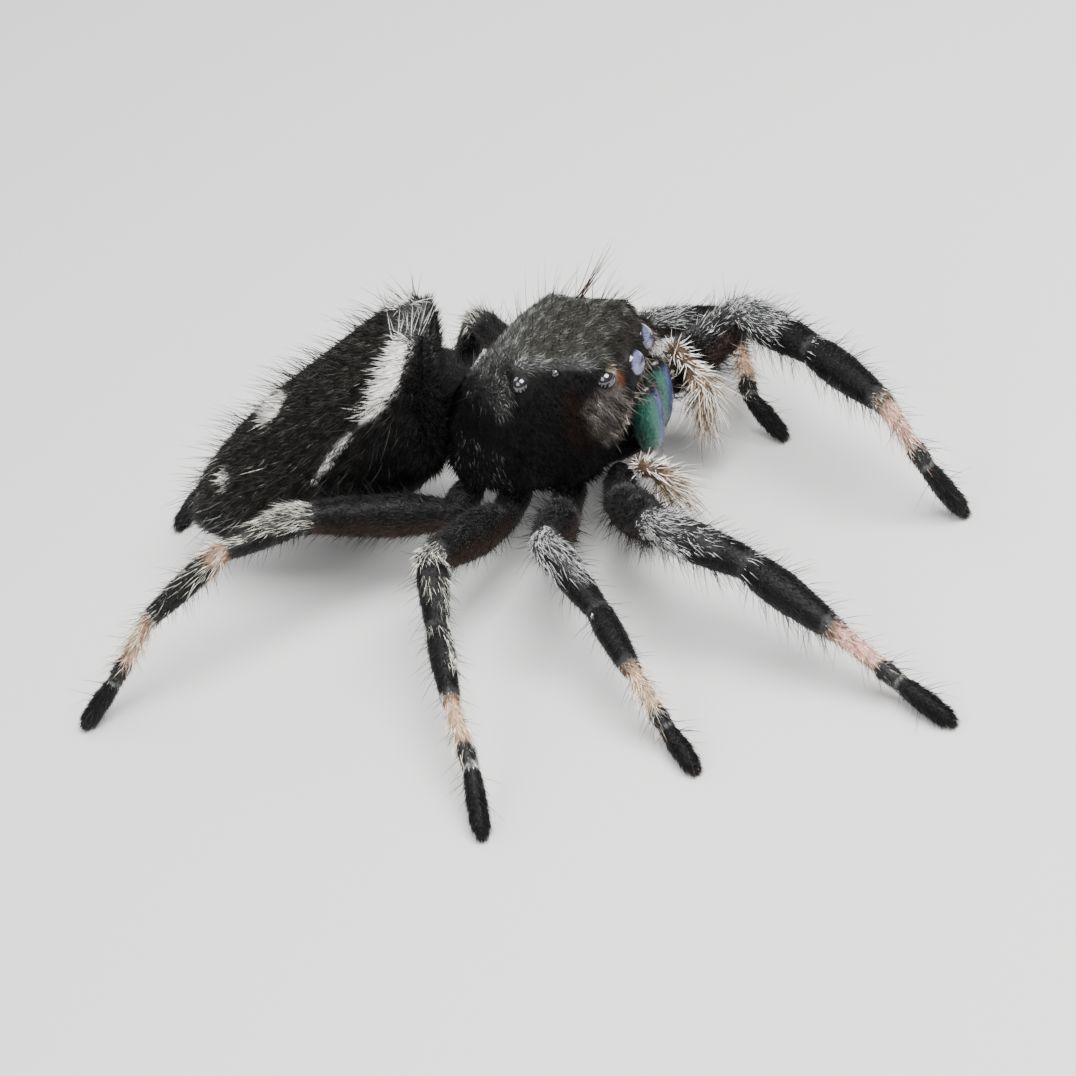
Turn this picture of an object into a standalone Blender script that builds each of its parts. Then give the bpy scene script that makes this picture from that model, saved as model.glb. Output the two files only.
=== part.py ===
"""Jumping spider, adult male, standing: a still model at the size of life.

Metres, +Z up. The animal faces -Y, its right side is at -X, and it stands on the plane z = 0.
Sizes below are in millimetres in the body's own directions (forward, left, up) and become
metres in at(). The outline of every solid is that of the coat, not of the bare body.
"""

import math

import bmesh
import bpy
import numpy as np
from mathutils import Matrix

MM = 0.001
MIDDLE = (2.119, -0.353)  # the body's middle from the middle of the footprint, left and back

# Driving dimensions, in millimetres and degrees.
BODY_HEIGHT = 3.0  # middle of the front body above the floor
GAP = 0.024  # thin parting between neighbouring pieces
FOOT_HEIGHT = 0.16  # middle of a foot's end above the floor
SOLE = 0.52  # flat under a foot, as a share of the foot's half thickness
LEG_SIDES = 10
CARAPACE_SIDES = 22
ABDOMEN_SIDES = 24
EYE_SOCKET = 0.025  # room round an eye

# Where each pair of legs leaves the body: (forward, sideways, up).
HIPS = {1: (1.80, 1.88, -1.36), 2: (0.55, 2.05, -1.42), 3: (-0.85, 2.05, -1.42), 4: (-2.10, 1.92, -1.34)}
COXA_START = 0.80  # sideways, where a coxa leaves the breastplate
COXA_RADIUS = 0.36

SEGMENTS = ("femur", "patella", "tibia", "metatarsus", "tarsus")
LENGTHS = {
    1: (3.05, 2.15, 2.30, 1.65, 1.30),
    2: (2.70, 1.75, 1.75, 1.40, 1.10),
    3: (2.70, 1.60, 1.85, 1.55, 1.35),
    4: (3.30, 1.85, 2.25, 2.00, 1.30),
}
# Half thickness at the middle of each segment.
THICKNESS = {
    1: (0.56, 0.47, 0.44, 0.28, 0.26),
    2: (0.52, 0.40, 0.34, 0.27, 0.25),
    3: (0.52, 0.38, 0.32, 0.26, 0.25),
    4: (0.52, 0.38, 0.33, 0.26, 0.25),
}
# Each leg's headings (0 is straight ahead, + to the left) and its rise above level, segment by
# segment from the hip. The last segment has no rise here: it comes down to the floor.
STANCE = {
    ("right", 1): ((-53, -20, -30, -29, -36), (24, -15, -25, -32)),
    ("right", 2): ((-76, -42, -56, -49, -51), (27, -36, -11, -46)),
    ("right", 3): ((-105, -77, -70, -65, -76), (24, -22, -17, -23)),
    ("right", 4): ((-154, -138, -149, -163, -155), (24, 9, -23, -46)),
    ("left", 1): ((1, -35, -41, -29, -14), (36, -5, -10, -66)),
    ("left", 2): ((86, 4, -60, -73, -34), (-8, -2, 8, -18)),
    ("left", 3): ((137, 171, 145, 155, 176), (20, -54, -16, -8)),
    ("left", 4): ((150, 174, 204, 232, 258), (-3, -8, -16, -12)),
}

# Eyes: (forward, sideways, up) of the middle, and radius.
EYES = {
    "front_middle": (2.42, 0.40, 1.17, 0.35),
    "front_side": (2.12, 1.06, 1.33, 0.22),
    "middle": (1.15, 1.20, 1.72, 0.10),
    "rear": (0.35, 1.30, 1.58, 0.21),
}

# Abdomen: how it is carried, and its length.
ABDOMEN_START = (-2.55, 0.0, 0.26)
ABDOMEN_LENGTH = 6.3
ABDOMEN_DROOP = 16
ABDOMEN_SWING = 11  # the rear end lies to the right
ABDOMEN_LEAN = (0.60, 0.27)  # forward lean of its blunt front above and below the axis

COLOURS = {
    "hair_black": ((0.012, 0.011, 0.011), 0.75, 0.0),
    "hair_olive": ((0.035, 0.032, 0.026), 0.75, 0.0),
    "hair_pale": ((0.55, 0.45, 0.38), 0.8, 0.0),
    "eye_gloss": ((0.008, 0.009, 0.012), 0.08, 0.0),
    "chelicera_green": ((0.02, 0.16, 0.12), 0.25, 0.6),
}
PALE_SEGMENTS = ("metatarsus",)


def at(forward, left, up):
    """A place in the body's directions, as x, y, z in metres."""
    return np.array([left, -forward, up], dtype=float) * MM


def heading(azimuth, rise):
    """Unit direction of a heading and a rise, both in degrees."""
    a, e = math.radians(azimuth), math.radians(rise)
    return np.array([math.cos(e) * math.sin(a), -math.cos(e) * math.cos(a), math.sin(e)])


def unit(vector):
    return vector / np.linalg.norm(vector)


def material(name):
    colour, roughness, metallic = COLOURS[name]
    made = bpy.data.materials.get(name) or bpy.data.materials.new(name)
    made.use_nodes = True
    shader = made.node_tree.nodes["Principled BSDF"]
    shader.inputs["Base Color"].default_value = (*colour, 1.0)
    shader.inputs["Roughness"].default_value = roughness
    shader.inputs["Metallic"].default_value = metallic
    return made


def add_object(name, mesh, surface, collection):
    mesh.transform(Matrix.Translation((MIDDLE[0] * MM, MIDDLE[1] * MM, 0.0)))
    mesh.shade_smooth()
    mesh.materials.append(material(surface))
    obj = bpy.data.objects.new(name, mesh)
    collection.objects.link(obj)
    return obj


def skin_rings(name, rings, surface, collection):
    """A closed body lofted through rings of equal point counts, with flat ends."""
    bm = bmesh.new()
    rows = [[bm.verts.new(point) for point in ring] for ring in rings]
    count = len(rows[0])
    for near, far in zip(rows, rows[1:]):
        for i in range(count):
            j = (i + 1) % count
            bm.faces.new((near[i], near[j], far[j], far[i]))
    bm.faces.new(rows[0][::-1])
    bm.faces.new(rows[-1])
    bmesh.ops.recalc_face_normals(bm, faces=bm.faces)
    mesh = bpy.data.meshes.new(name)
    bm.to_mesh(mesh)
    bm.free()
    return add_object(name, mesh, surface, collection)


def ring(centre, normal, half_width, half_height, sides):
    """An ellipse about a centre, square to a direction, its width level with the floor."""
    side = unit(np.cross(normal, (0.0, 0.0, 1.0)))
    up = np.cross(side, normal)
    turns = np.arange(sides) * (2 * math.pi / sides)
    return centre + MM * (
        half_width * np.cos(turns)[:, None] * side + half_height * np.sin(turns)[:, None] * up
    )


def sole(end, along, radius):
    """A level ring on the floor that closes a foot, just ahead of the leg's end."""
    level = math.hypot(along[0], along[1])
    ahead = np.array([along[0], along[1], 0.0]) / level
    side = np.cross(ahead, (0.0, 0.0, 1.0))
    turns = np.arange(LEG_SIDES) * (2 * math.pi / LEG_SIDES)
    middle = np.array([end[0], end[1], 0.0]) + ahead * level * radius * MM
    return middle + MM * radius * (np.cos(turns)[:, None] * side + np.sin(turns)[:, None] * ahead)


def tube(name, path, radii, normals, surface, collection, sides=LEG_SIDES, squash=1.0, last=()):
    """Rings of given radius and direction along a path. Nothing reaches below the floor."""
    rings = [
        ring(centre, normal, radius, radius * squash, sides)
        for centre, radius, normal in zip(path, radii, normals)
    ]
    for points in rings:
        points[:, 2] = np.maximum(points[:, 2], 0.0)
    return skin_rings(name, rings + list(last), surface, collection)


def leg_joints(side, pair):
    """Places of a leg's joints from the hip out, the last on the floor."""
    azimuths, rises = STANCE[(side, pair)]
    sign = 1 if side == "left" else -1
    forward, sideways, up = HIPS[pair]
    places = [at(forward, sign * sideways, up + BODY_HEIGHT)]
    for azimuth, rise, length in zip(azimuths, rises, LENGTHS[pair]):
        places.append(places[-1] + heading(azimuth, rise) * length * MM)
    last = LENGTHS[pair][-1]
    drop = (places[-1][2] / MM - FOOT_HEIGHT) / last
    rise = -math.degrees(math.asin(min(0.999, drop)))
    places.append(places[-1] + heading(azimuths[-1], rise) * last * MM)
    return places


def joint_normals(places, first):
    """At each joint the direction half way between its two segments."""
    steps = [first] + [unit(b - a) for a, b in zip(places, places[1:])]
    between = [unit(a + b) for a, b in zip(steps, steps[1:])]
    return between + [steps[-1]], steps[1:]


def leg(side, pair, collection):
    """Five pieces, parted by thin cuts that halve the bend at each joint."""
    sign = 1 if side == "left" else -1
    hip_forward, hip_side, hip_up = HIPS[pair]
    places = leg_joints(side, pair)
    root = at(hip_forward * 0.86, sign * COXA_START, hip_up + BODY_HEIGHT - 0.05)
    coxa = unit(places[0] - root)
    normals, along = joint_normals(places, coxa)
    thick = THICKNESS[pair]
    joint_radius = [thick[0] * 0.86] + [
        0.5 * (a + b) * 0.92 for a, b in zip(thick, thick[1:])
    ]
    for index, segment in enumerate(SEGMENTS):
        start, end = places[index], places[index + 1]
        step = along[index]
        near, far = start + step * GAP * MM / 2, end - step * GAP * MM / 2
        path = [near, start + 0.25 * (end - start), start + 0.62 * (end - start)]
        radii = [joint_radius[index], thick[index], thick[index] * 0.98]
        facing = [normals[index], step, step]
        flats = []
        if segment == "tarsus":
            path += [end - step * 0.14 * MM, end]
            radii += [thick[index] * 0.9, thick[index] * 0.6]
            facing += [step, step]
            flats = [sole(end, step, thick[index] * SOLE)]
        else:
            path += [start + 0.86 * (end - start), far]
            radii += [(thick[index] + joint_radius[index + 1]) / 2, joint_radius[index + 1]]
            facing += [step, normals[index + 1]]
        if segment == "femur":
            path = [root, root + 0.6 * (places[0] - root), start] + path[1:]
            radii = [COXA_RADIUS, COXA_RADIUS, joint_radius[0] * 0.9] + radii[1:]
            facing = [coxa, coxa, normals[0]] + facing[1:]
        surface = "hair_pale" if segment in PALE_SEGMENTS else "hair_black"
        tube(
            f"leg_{pair}_{side}_{segment}", path, radii, facing, surface, collection, last=flats
        )


def smooth_between(table, x):
    """Value at x of a smooth curve through the table's (place, value) pairs."""
    xs, ys = (np.array(column, dtype=float) for column in zip(*table))
    slopes = np.gradient(ys, xs)
    i = int(np.clip(np.searchsorted(xs, x) - 1, 0, len(xs) - 2))
    step = xs[i + 1] - xs[i]
    t = min(1.0, max(0.0, (x - xs[i]) / step))
    h = (2 * t**3 - 3 * t**2 + 1, t**3 - 2 * t**2 + t, -2 * t**3 + 3 * t**2, t**3 - t**2)
    return h[0] * ys[i] + h[1] * step * slopes[i] + h[2] * ys[i + 1] + h[3] * step * slopes[i + 1]


# Carapace outline along its length, as (forward, value).
CARAPACE_WIDTH = ((-2.35, 0.62), (-2.0, 1.22), (-1.3, 1.70), (-0.3, 1.93), (0.7, 1.88), (1.5, 1.68),
                  (2.1, 1.44), (2.5, 1.06), (2.62, 0.84))
CARAPACE_TOP = ((-2.35, -0.15), (-2.0, 0.38), (-1.3, 1.08), (-0.6, 1.62), (0.0, 2.01), (0.6, 2.19),
                (1.4, 2.17), (2.0, 2.08), (2.3, 1.88), (2.5, 1.48), (2.62, 1.16))
CARAPACE_LOW = ((-2.35, -0.78), (-2.0, -0.87), (-1.6, -0.87), (0.9, -0.87), (1.3, -0.85), (1.7, -0.55),
                (2.1, 0.15), (2.5, 0.72), (2.62, 0.82))
CARAPACE_SQUARE = ((-2.35, 2.0), (-1.0, 2.05), (0.3, 3.6), (2.62, 3.6))
CARAPACE_TAPER = 0.18  # how much narrower the head's flat top is than its foot
# Low mounds over the outer eyes: (forward, sideways, up) of the middle, then width and height.
EYE_MOUNDS = ((0.48, 1.10, 1.94, 0.28, 0.12), (2.18, 1.02, 1.66, 0.24, 0.12))
MOUND_RISE = 63  # the mounds stand outwards and up, in degrees above level


def raise_mounds(points):
    """Lifts points up and outwards near each mound's middle, by a bell curve of the distance."""
    for forward, sideways, up, width, height in EYE_MOUNDS:
        for sign in (-1, 1):
            middle = at(forward, sign * sideways, up + BODY_HEIGHT)
            share = np.exp(-((np.linalg.norm(points - middle, axis=1) / (width * MM)) ** 2))
            points = points + height * MM * share[:, None] * heading(sign * 90, MOUND_RISE)
    return points


def carapace(collection, cutters):
    """Head and thorax shield: rings that grow box-like from the sloping rear to the face."""
    rings = []
    for forward in (-2.35, -2.2, -2.0, -1.7, -1.3, -0.9, -0.5, -0.15, 0.2, 0.48, 0.8, 1.2, 1.6, 1.95,
                    2.18, 2.38, 2.52, 2.62):
        width = smooth_between(CARAPACE_WIDTH, forward)
        top = smooth_between(CARAPACE_TOP, forward)
        low = smooth_between(CARAPACE_LOW, forward)
        power = 2 / smooth_between(CARAPACE_SQUARE, forward)
        arch = np.linspace(0, math.pi, CARAPACE_SIDES - 3)
        x = np.sign(np.cos(arch)) * np.abs(np.cos(arch)) ** power
        z = np.abs(np.sin(arch)) ** power
        taper = 1 - CARAPACE_TAPER * z
        points = [at(forward, width * a * b, low + (top - low) * c) for a, b, c in zip(x, taper, z)]
        points += [at(forward, width * side, low - 0.04) for side in (-0.62, 0.0, 0.62)]
        rings.append(raise_mounds(np.array(points) + at(0, 0, BODY_HEIGHT)))
    body = skin_rings("carapace", rings, "hair_olive", collection)
    for kind, (forward, sideways, up, radius) in EYES.items():
        for side, sign in (("right", -1), ("left", 1)):
            middle = at(forward, sign * sideways, up + BODY_HEIGHT)
            ball(f"eye_{kind}_{side}", middle, radius, "eye_gloss", collection)
            socket = ball(f"socket_{kind}_{side}", middle, radius + EYE_SOCKET, "eye_gloss", cutters)
            socket.hide_render = True
            socket.display_type = "WIRE"
            cut = body.modifiers.new(socket.name, "BOOLEAN")
            cut.operation = "DIFFERENCE"
            cut.solver = "EXACT"
            cut.object = socket


def ball(name, middle, radius, surface, collection):
    bm = bmesh.new()
    small = radius < 0.15
    bmesh.ops.create_uvsphere(
        bm, u_segments=8 if small else 14, v_segments=5 if small else 9, radius=radius * MM
    )
    mesh = bpy.data.meshes.new(name)
    bm.to_mesh(mesh)
    bm.free()
    obj = add_object(name, mesh, surface, collection)
    obj.location = middle
    return obj


# Abdomen outline from its front (0) to its tip (1): half width, rise above and drop below its axis.
ABDOMEN_WIDTH = ((0.0, 1.30), (0.04, 1.60), (0.10, 1.76), (0.2, 1.90), (0.34, 1.95), (0.5, 1.86),
                 (0.7, 1.55), (0.85, 1.16), (0.94, 0.82), (0.98, 0.58), (1.0, 0.40))
ABDOMEN_RISE = ((0.0, 2.02), (0.04, 2.20), (0.10, 2.24), (0.2, 2.15), (0.34, 1.98), (0.5, 1.80),
                (0.7, 1.44), (0.85, 1.06), (0.94, 0.74), (0.98, 0.50), (1.0, 0.34))
ABDOMEN_DROP = ((0.0, 0.98), (0.04, 1.26), (0.10, 1.42), (0.2, 1.54), (0.34, 1.60), (0.5, 1.50),
                (0.7, 1.22), (0.85, 0.92), (0.94, 0.66), (0.98, 0.46), (1.0, 0.32))
# Its upper half is squared off near the front: the power of its outline.
ABDOMEN_SQUARE = ((0.0, 3.0), (0.10, 3.0), (0.22, 2.5), (0.4, 2.0), (1.0, 2.0))


def abdomen_axis():
    """Start, direction, left and up of the abdomen's own directions."""
    back = heading(180 + ABDOMEN_SWING, -ABDOMEN_DROOP)
    left = unit(np.cross(back, (0.0, 0.0, 1.0)))
    return at(*ABDOMEN_START) + at(0, 0, BODY_HEIGHT), back, left, np.cross(left, back)


def abdomen(collection):
    start, back, left, up = abdomen_axis()
    turns = np.arange(ABDOMEN_SIDES) * (2 * math.pi / ABDOMEN_SIDES)
    rings = []
    for place in (0.0, 0.018, 0.045, 0.09, 0.15, 0.24, 0.35, 0.47, 0.6, 0.72, 0.82, 0.9, 0.955, 0.985, 1.0):
        width = smooth_between(ABDOMEN_WIDTH, place)
        rise = smooth_between(ABDOMEN_RISE, place)
        drop = smooth_between(ABDOMEN_DROP, place)
        power = 2 / np.where(np.sin(turns) > 0, smooth_between(ABDOMEN_SQUARE, place), 2.0)
        level = np.sign(np.cos(turns)) * np.abs(np.cos(turns)) ** power
        height = np.where(np.sin(turns) > 0, rise, -drop) * np.abs(np.sin(turns)) ** power
        middle = start + back * place * ABDOMEN_LENGTH * MM
        lean = np.where(np.sin(turns) > 0, *ABDOMEN_LEAN) * max(0.0, 1 - 2 * place)
        rings.append(
            middle
            + MM * width * level[:, None] * left
            + MM * height[:, None] * (up - lean[:, None] * back)
        )
    skin_rings("abdomen", rings, "hair_black", collection)
    tip = start + back * ABDOMEN_LENGTH * MM
    # Back from the tip, and down.
    steps = ((GAP, 0.05), (0.12, 0.12), (0.24, 0.22), (0.31, 0.28))
    path = [tip + (back * s - up * fall) * MM for s, fall in steps]
    tube("spinnerets", path, (0.24, 0.24, 0.18, 0.11), [back] * 4, "hair_black", collection)


def pedicel(collection):
    """The short narrow waist between the two halves of the body."""
    back = at(-1, 0, 0) / MM
    ends = (-2.35 - GAP, ABDOMEN_START[0] + 3.2 * GAP)
    path = [at(forward, 0, BODY_HEIGHT - 0.35) for forward in ends]
    tube("pedicel", path, (0.26, 0.26), (back, back), "hair_black", collection)


def sternum(collection):
    """Breastplate between the coxae, with the lip and jaws' bases at its front."""
    stations = ((-2.0, 0.22), (-1.8, 0.45), (-1.0, 0.66), (0.0, 0.72), (1.0, 0.62), (1.6, 0.5),
                (1.95, 0.34))
    path = [at(forward, 0, -1.30 + BODY_HEIGHT) for forward, _ in stations]
    radii = [width for _, width in stations]
    ahead = at(1, 0, 0) / MM
    tube("sternum", path, radii, [ahead] * len(path), "hair_black", collection, 14, 0.52)


# Paths of the mouth parts as (forward, sideways, up, half thickness).
CHELICERA = ((2.56, 0.43, 0.50, 0.22), (2.54, 0.43, 0.30, 0.31), (2.47, 0.43, 0.00, 0.37),
             (2.38, 0.43, -0.40, 0.38), (2.31, 0.42, -0.82, 0.32), (2.22, 0.40, -1.16, 0.22))
PALP_ARM = {
    "right": ((2.12, 0.98, -1.10, 0.25), (2.28, 1.22, -1.00, 0.25), (2.46, 1.46, -0.84, 0.26),
              (2.58, 1.50, -0.84, 0.26)),
    "left": ((2.12, 0.98, -0.98, 0.25), (2.38, 1.10, -0.58, 0.25), (2.62, 1.32, -0.12, 0.26),
             (2.80, 1.26, 0.08, 0.26), (2.98, 1.10, -0.06, 0.26)),
}
PALP_TIP = {
    "right": ((2.72, 1.46, -1.02, 0.27), (2.78, 1.43, -1.17, 0.33), (2.87, 1.36, -1.48, 0.29),
              (2.94, 1.30, -1.74, 0.17)),
    "left": ((3.10, 1.02, -0.26, 0.27), (3.20, 0.95, -0.66, 0.34), (3.16, 0.87, -1.16, 0.31),
             (3.08, 0.80, -1.60, 0.18)),
}


def mouth_part(name, stations, sign, surface, collection):
    """A tube along stations of a mouth part, turned to its path at every ring."""
    path = [at(f, sign * s, u + BODY_HEIGHT) for f, s, u, _ in stations]
    steps = [unit(b - a) for a, b in zip(path, path[1:])]
    between = [unit(a + b) for a, b in zip(steps, steps[1:])]
    radii = [radius for *_, radius in stations]
    tube(name, path, radii, [steps[0]] + between + [steps[-1]], surface, collection)


def main():
    for obj in list(bpy.data.objects):
        bpy.data.objects.remove(obj, do_unlink=True)
    scene = bpy.context.scene.collection
    parts = bpy.data.collections.new("jumping_spider")
    cutters = bpy.data.collections.new("cutters")
    scene.children.link(parts)
    scene.children.link(cutters)
    carapace(parts, cutters)
    sternum(parts)
    pedicel(parts)
    abdomen(parts)
    for side, sign in (("right", -1), ("left", 1)):
        mouth_part(f"chelicera_{side}", CHELICERA, sign, "chelicera_green", parts)
        mouth_part(f"palp_{side}_arm", PALP_ARM[side], sign, "hair_black", parts)
        mouth_part(f"palp_{side}_tip", PALP_TIP[side], sign, "hair_pale", parts)
        for pair in HIPS:
            leg(side, pair, parts)


main()
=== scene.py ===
"""Regal jumping spider, adult male, as a still model at the size of life: skin, coat, eyes, jaws
and claws over the solids.

Shapes are worked out in millimetres in the body's own directions (x to its left, y to its rear,
z up from the floor) and become metres, in the solids' frame, in new_mesh().
"""
import math
from collections import namedtuple

import bpy
import numpy as np
from mathutils import Matrix


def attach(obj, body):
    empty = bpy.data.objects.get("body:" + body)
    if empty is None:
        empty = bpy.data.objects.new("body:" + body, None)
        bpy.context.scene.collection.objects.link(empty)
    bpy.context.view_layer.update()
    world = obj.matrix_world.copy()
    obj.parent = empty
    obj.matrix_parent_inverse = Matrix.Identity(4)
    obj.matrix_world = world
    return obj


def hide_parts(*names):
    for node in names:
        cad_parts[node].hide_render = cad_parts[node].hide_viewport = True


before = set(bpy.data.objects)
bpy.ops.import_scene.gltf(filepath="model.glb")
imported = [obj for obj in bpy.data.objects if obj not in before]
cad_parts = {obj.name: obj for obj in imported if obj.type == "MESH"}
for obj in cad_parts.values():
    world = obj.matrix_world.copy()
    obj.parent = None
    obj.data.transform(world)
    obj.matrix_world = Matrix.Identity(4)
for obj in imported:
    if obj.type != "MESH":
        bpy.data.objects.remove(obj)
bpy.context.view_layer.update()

MM = 0.001
MIDDLE = np.array((2.119, -0.353, 0.0))  # the body's middle from the middle of the footprint
BODY_HEIGHT = 3.0
FLOOR_ROOM = 0.012  # lowest that a hair may reach above the floor

# ---------------------------------------------------------------- the animal's measures

# Where each pair of legs starts, as (forward, sideways, up).
HIPS = {1: (1.80, 1.88, -1.36), 2: (0.55, 2.05, -1.42), 3: (-0.85, 2.05, -1.42), 4: (-2.10, 1.92, -1.34)}
COXA_START = 0.80  # sideways
# Lengths and thicknesses of each pair's femur, patella, tibia, metatarsus and tarsus.
LENGTHS = {
    1: (3.05, 2.15, 2.30, 1.65, 1.30),
    2: (2.70, 1.75, 1.75, 1.40, 1.10),
    3: (2.70, 1.60, 1.85, 1.55, 1.35),
    4: (3.30, 1.85, 2.25, 2.00, 1.30),
}
THICKNESS = {
    1: (0.56, 0.47, 0.44, 0.28, 0.26),
    2: (0.52, 0.40, 0.34, 0.27, 0.25),
    3: (0.52, 0.38, 0.32, 0.26, 0.25),
    4: (0.52, 0.38, 0.33, 0.26, 0.25),
}
# Headings of the five segments and rises of the first four, in degrees.
STANCE = {
    ("right", 1): ((-53, -20, -30, -29, -36), (24, -15, -25, -32)),
    ("right", 2): ((-76, -42, -56, -49, -51), (27, -36, -11, -46)),
    ("right", 3): ((-105, -77, -70, -65, -76), (24, -22, -17, -23)),
    ("right", 4): ((-154, -138, -149, -163, -155), (24, 9, -23, -46)),
    ("left", 1): ((1, -35, -41, -29, -14), (36, -5, -10, -66)),
    ("left", 2): ((86, 4, -60, -73, -34), (-8, -2, 8, -18)),
    ("left", 3): ((137, 171, 145, 155, 176), (20, -54, -16, -8)),
    ("left", 4): ((150, 174, 204, 232, 258), (-3, -8, -16, -12)),
}
FOOT_HEIGHT = 0.16
# How thick a segment is along its length, as a share of its thickness.
SEGMENT_SHAPE = ((0.0, 0.80), (0.12, 0.90), (0.35, 1.0), (0.65, 0.97), (0.88, 0.87), (1.0, 0.80))

EYES = {  # (forward, sideways, up) of each middle, then radius
    "front_middle": (2.42, 0.40, 1.17, 0.35),
    "front_side": (2.12, 1.06, 1.33, 0.22),
    "middle": (1.15, 1.20, 1.72, 0.10),
    "rear": (0.35, 1.30, 1.58, 0.21),
}
EYE_FACING = {  # heading to the side, then rise, in degrees
    "front_middle": (8, 4),
    "front_side": (42, 12),
    "middle": (85, 25),
    "rear": (105, 28),
}

ABDOMEN_START = (-2.55, 0.0, 0.26)  # forward, left, up
ABDOMEN_LENGTH = 6.3
ABDOMEN_DROOP, ABDOMEN_SWING = 16, 11  # below level and out of line with the head, in degrees
ABDOMEN_LEAN = (0.60, 0.27)  # of its front end, forward for each step up, above and below its middle
# Half width, rise and drop from the middle line, and the power of the ring's squareness, by the
# place along the abdomen.
ABDOMEN_WIDTH = ((0.0, 1.30), (0.04, 1.60), (0.10, 1.76), (0.2, 1.90), (0.34, 1.95), (0.5, 1.86),
                 (0.7, 1.55), (0.85, 1.16), (0.94, 0.82), (0.98, 0.58), (1.0, 0.40))
ABDOMEN_RISE = ((0.0, 2.02), (0.04, 2.20), (0.10, 2.24), (0.2, 2.15), (0.34, 1.98), (0.5, 1.80),
                (0.7, 1.44), (0.85, 1.06), (0.94, 0.74), (0.98, 0.50), (1.0, 0.34))
ABDOMEN_DROP = ((0.0, 0.98), (0.04, 1.26), (0.10, 1.42), (0.2, 1.54), (0.34, 1.60), (0.5, 1.50),
                (0.7, 1.22), (0.85, 0.92), (0.94, 0.66), (0.98, 0.46), (1.0, 0.32))
ABDOMEN_SQUARE = ((0.0, 3.0), (0.10, 3.0), (0.22, 2.5), (0.4, 2.0), (1.0, 2.0))

# Half width, top and lower edge, and squareness of the arch, by the place forward.
CARAPACE_WIDTH = ((-2.35, 0.62), (-2.0, 1.22), (-1.3, 1.70), (-0.3, 1.93), (0.7, 1.88), (1.5, 1.68),
                  (2.1, 1.44), (2.5, 1.06), (2.62, 0.84))
CARAPACE_TOP = ((-2.35, -0.15), (-2.0, 0.38), (-1.3, 1.08), (-0.6, 1.62), (0.0, 2.01), (0.6, 2.19),
                (1.4, 2.17), (2.0, 2.08), (2.3, 1.88), (2.5, 1.48), (2.62, 1.16))
CARAPACE_LOW = ((-2.35, -0.78), (-2.0, -0.87), (-1.6, -0.87), (0.9, -0.87), (1.3, -0.85), (1.7, -0.55),
                (2.1, 0.15), (2.5, 0.72), (2.62, 0.82))
CARAPACE_SQUARE = ((-2.35, 2.0), (-1.0, 2.05), (0.3, 3.6), (2.62, 3.6))
CARAPACE_TAPER = 0.18  # how much narrower the arch is at its top
# Low mounds over the outer eyes: (forward, sideways, up) of the middle, then width and height.
EYE_MOUNDS = ((0.48, 1.10, 1.94, 0.28, 0.12), (2.18, 1.02, 1.66, 0.24, 0.12))
MOUND_RISE = 63  # the mounds stand outwards and up, in degrees above level

# Half width of the breastplate by the place forward.
STERNUM = ((-2.0, 0.22), (-1.8, 0.45), (-1.0, 0.66), (0.0, 0.72), (1.0, 0.62), (1.6, 0.5), (1.95, 0.34))
STERNUM_UP = -1.30
# The stalk and the mouth parts as stations of (forward, sideways, up, half thickness).
PEDICEL = ((-1.9, 0.0, -0.35, 0.26), (-2.4, 0.0, -0.35, 0.24), (-2.9, 0.0, -0.35, 0.28))
CHELICERA = ((2.56, 0.43, 0.50, 0.22), (2.54, 0.43, 0.30, 0.31), (2.47, 0.43, 0.00, 0.37),
             (2.38, 0.43, -0.40, 0.38), (2.31, 0.42, -0.82, 0.32), (2.22, 0.40, -1.16, 0.22))
PALP = {
    "right": ((2.12, 0.98, -1.10, 0.25), (2.28, 1.22, -1.00, 0.25), (2.46, 1.46, -0.84, 0.26),
              (2.58, 1.50, -0.84, 0.26), (2.72, 1.46, -1.02, 0.27), (2.78, 1.43, -1.17, 0.33),
              (2.87, 1.36, -1.48, 0.29), (2.94, 1.30, -1.74, 0.17)),
    "left": ((2.12, 0.98, -0.98, 0.25), (2.38, 1.10, -0.58, 0.25), (2.62, 1.32, -0.12, 0.26),
             (2.80, 1.26, 0.08, 0.26), (2.98, 1.10, -0.06, 0.26), (3.10, 1.02, -0.26, 0.27),
             (3.20, 0.95, -0.66, 0.34), (3.16, 0.87, -1.16, 0.31), (3.08, 0.80, -1.60, 0.18)),
}
PALP_TIP_FROM = {"right": 0.56, "left": 0.62}  # where along a palp its last segment begins

# How deep the coat is, which is how far the skin lies inside the solids.
COAT = {"abdomen": 0.07, "carapace": 0.05, "leg": 0.06, "foot": 0.05, "shank": 0.10, "palp": 0.08,
        "under": 0.05}
SKIN_VOXEL = 0.070  # edge of the cubes that the skin is fused by

# Colours of hair and skin, linear.
BLACK = np.array((0.0022, 0.0021, 0.0024))
BROWN_BLACK = np.array((0.0122, 0.0111, 0.0097))
OLIVE = np.array((0.050, 0.048, 0.038))
GREY = np.array((0.155, 0.160, 0.155))
WHITE = np.array((0.90, 0.89, 0.85))
CREAM = np.array((0.64, 0.54, 0.41))
TAN = np.array((0.27, 0.165, 0.10))
RUST = np.array((0.085, 0.028, 0.014))
PINK = np.array((0.62, 0.38, 0.30))

# ---------------------------------------------------------------- small sums on arrays


def at(forward, left, up):
    """Places given forward, to the left and above the body's middle, as x, y, z."""
    parts = np.broadcast_arrays(np.asarray(left, float), -np.asarray(forward, float),
                                np.asarray(up, float) + BODY_HEIGHT)
    return np.stack(parts, axis=-1)


def heading(azimuth, rise):
    """Unit directions of headings (0 ahead, + to the left) and rises, in degrees."""
    a, e = np.radians(azimuth), np.radians(rise)
    return np.stack([np.cos(e) * np.sin(a), -np.cos(e) * np.cos(a), np.sin(e) + 0 * a], axis=-1)


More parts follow.
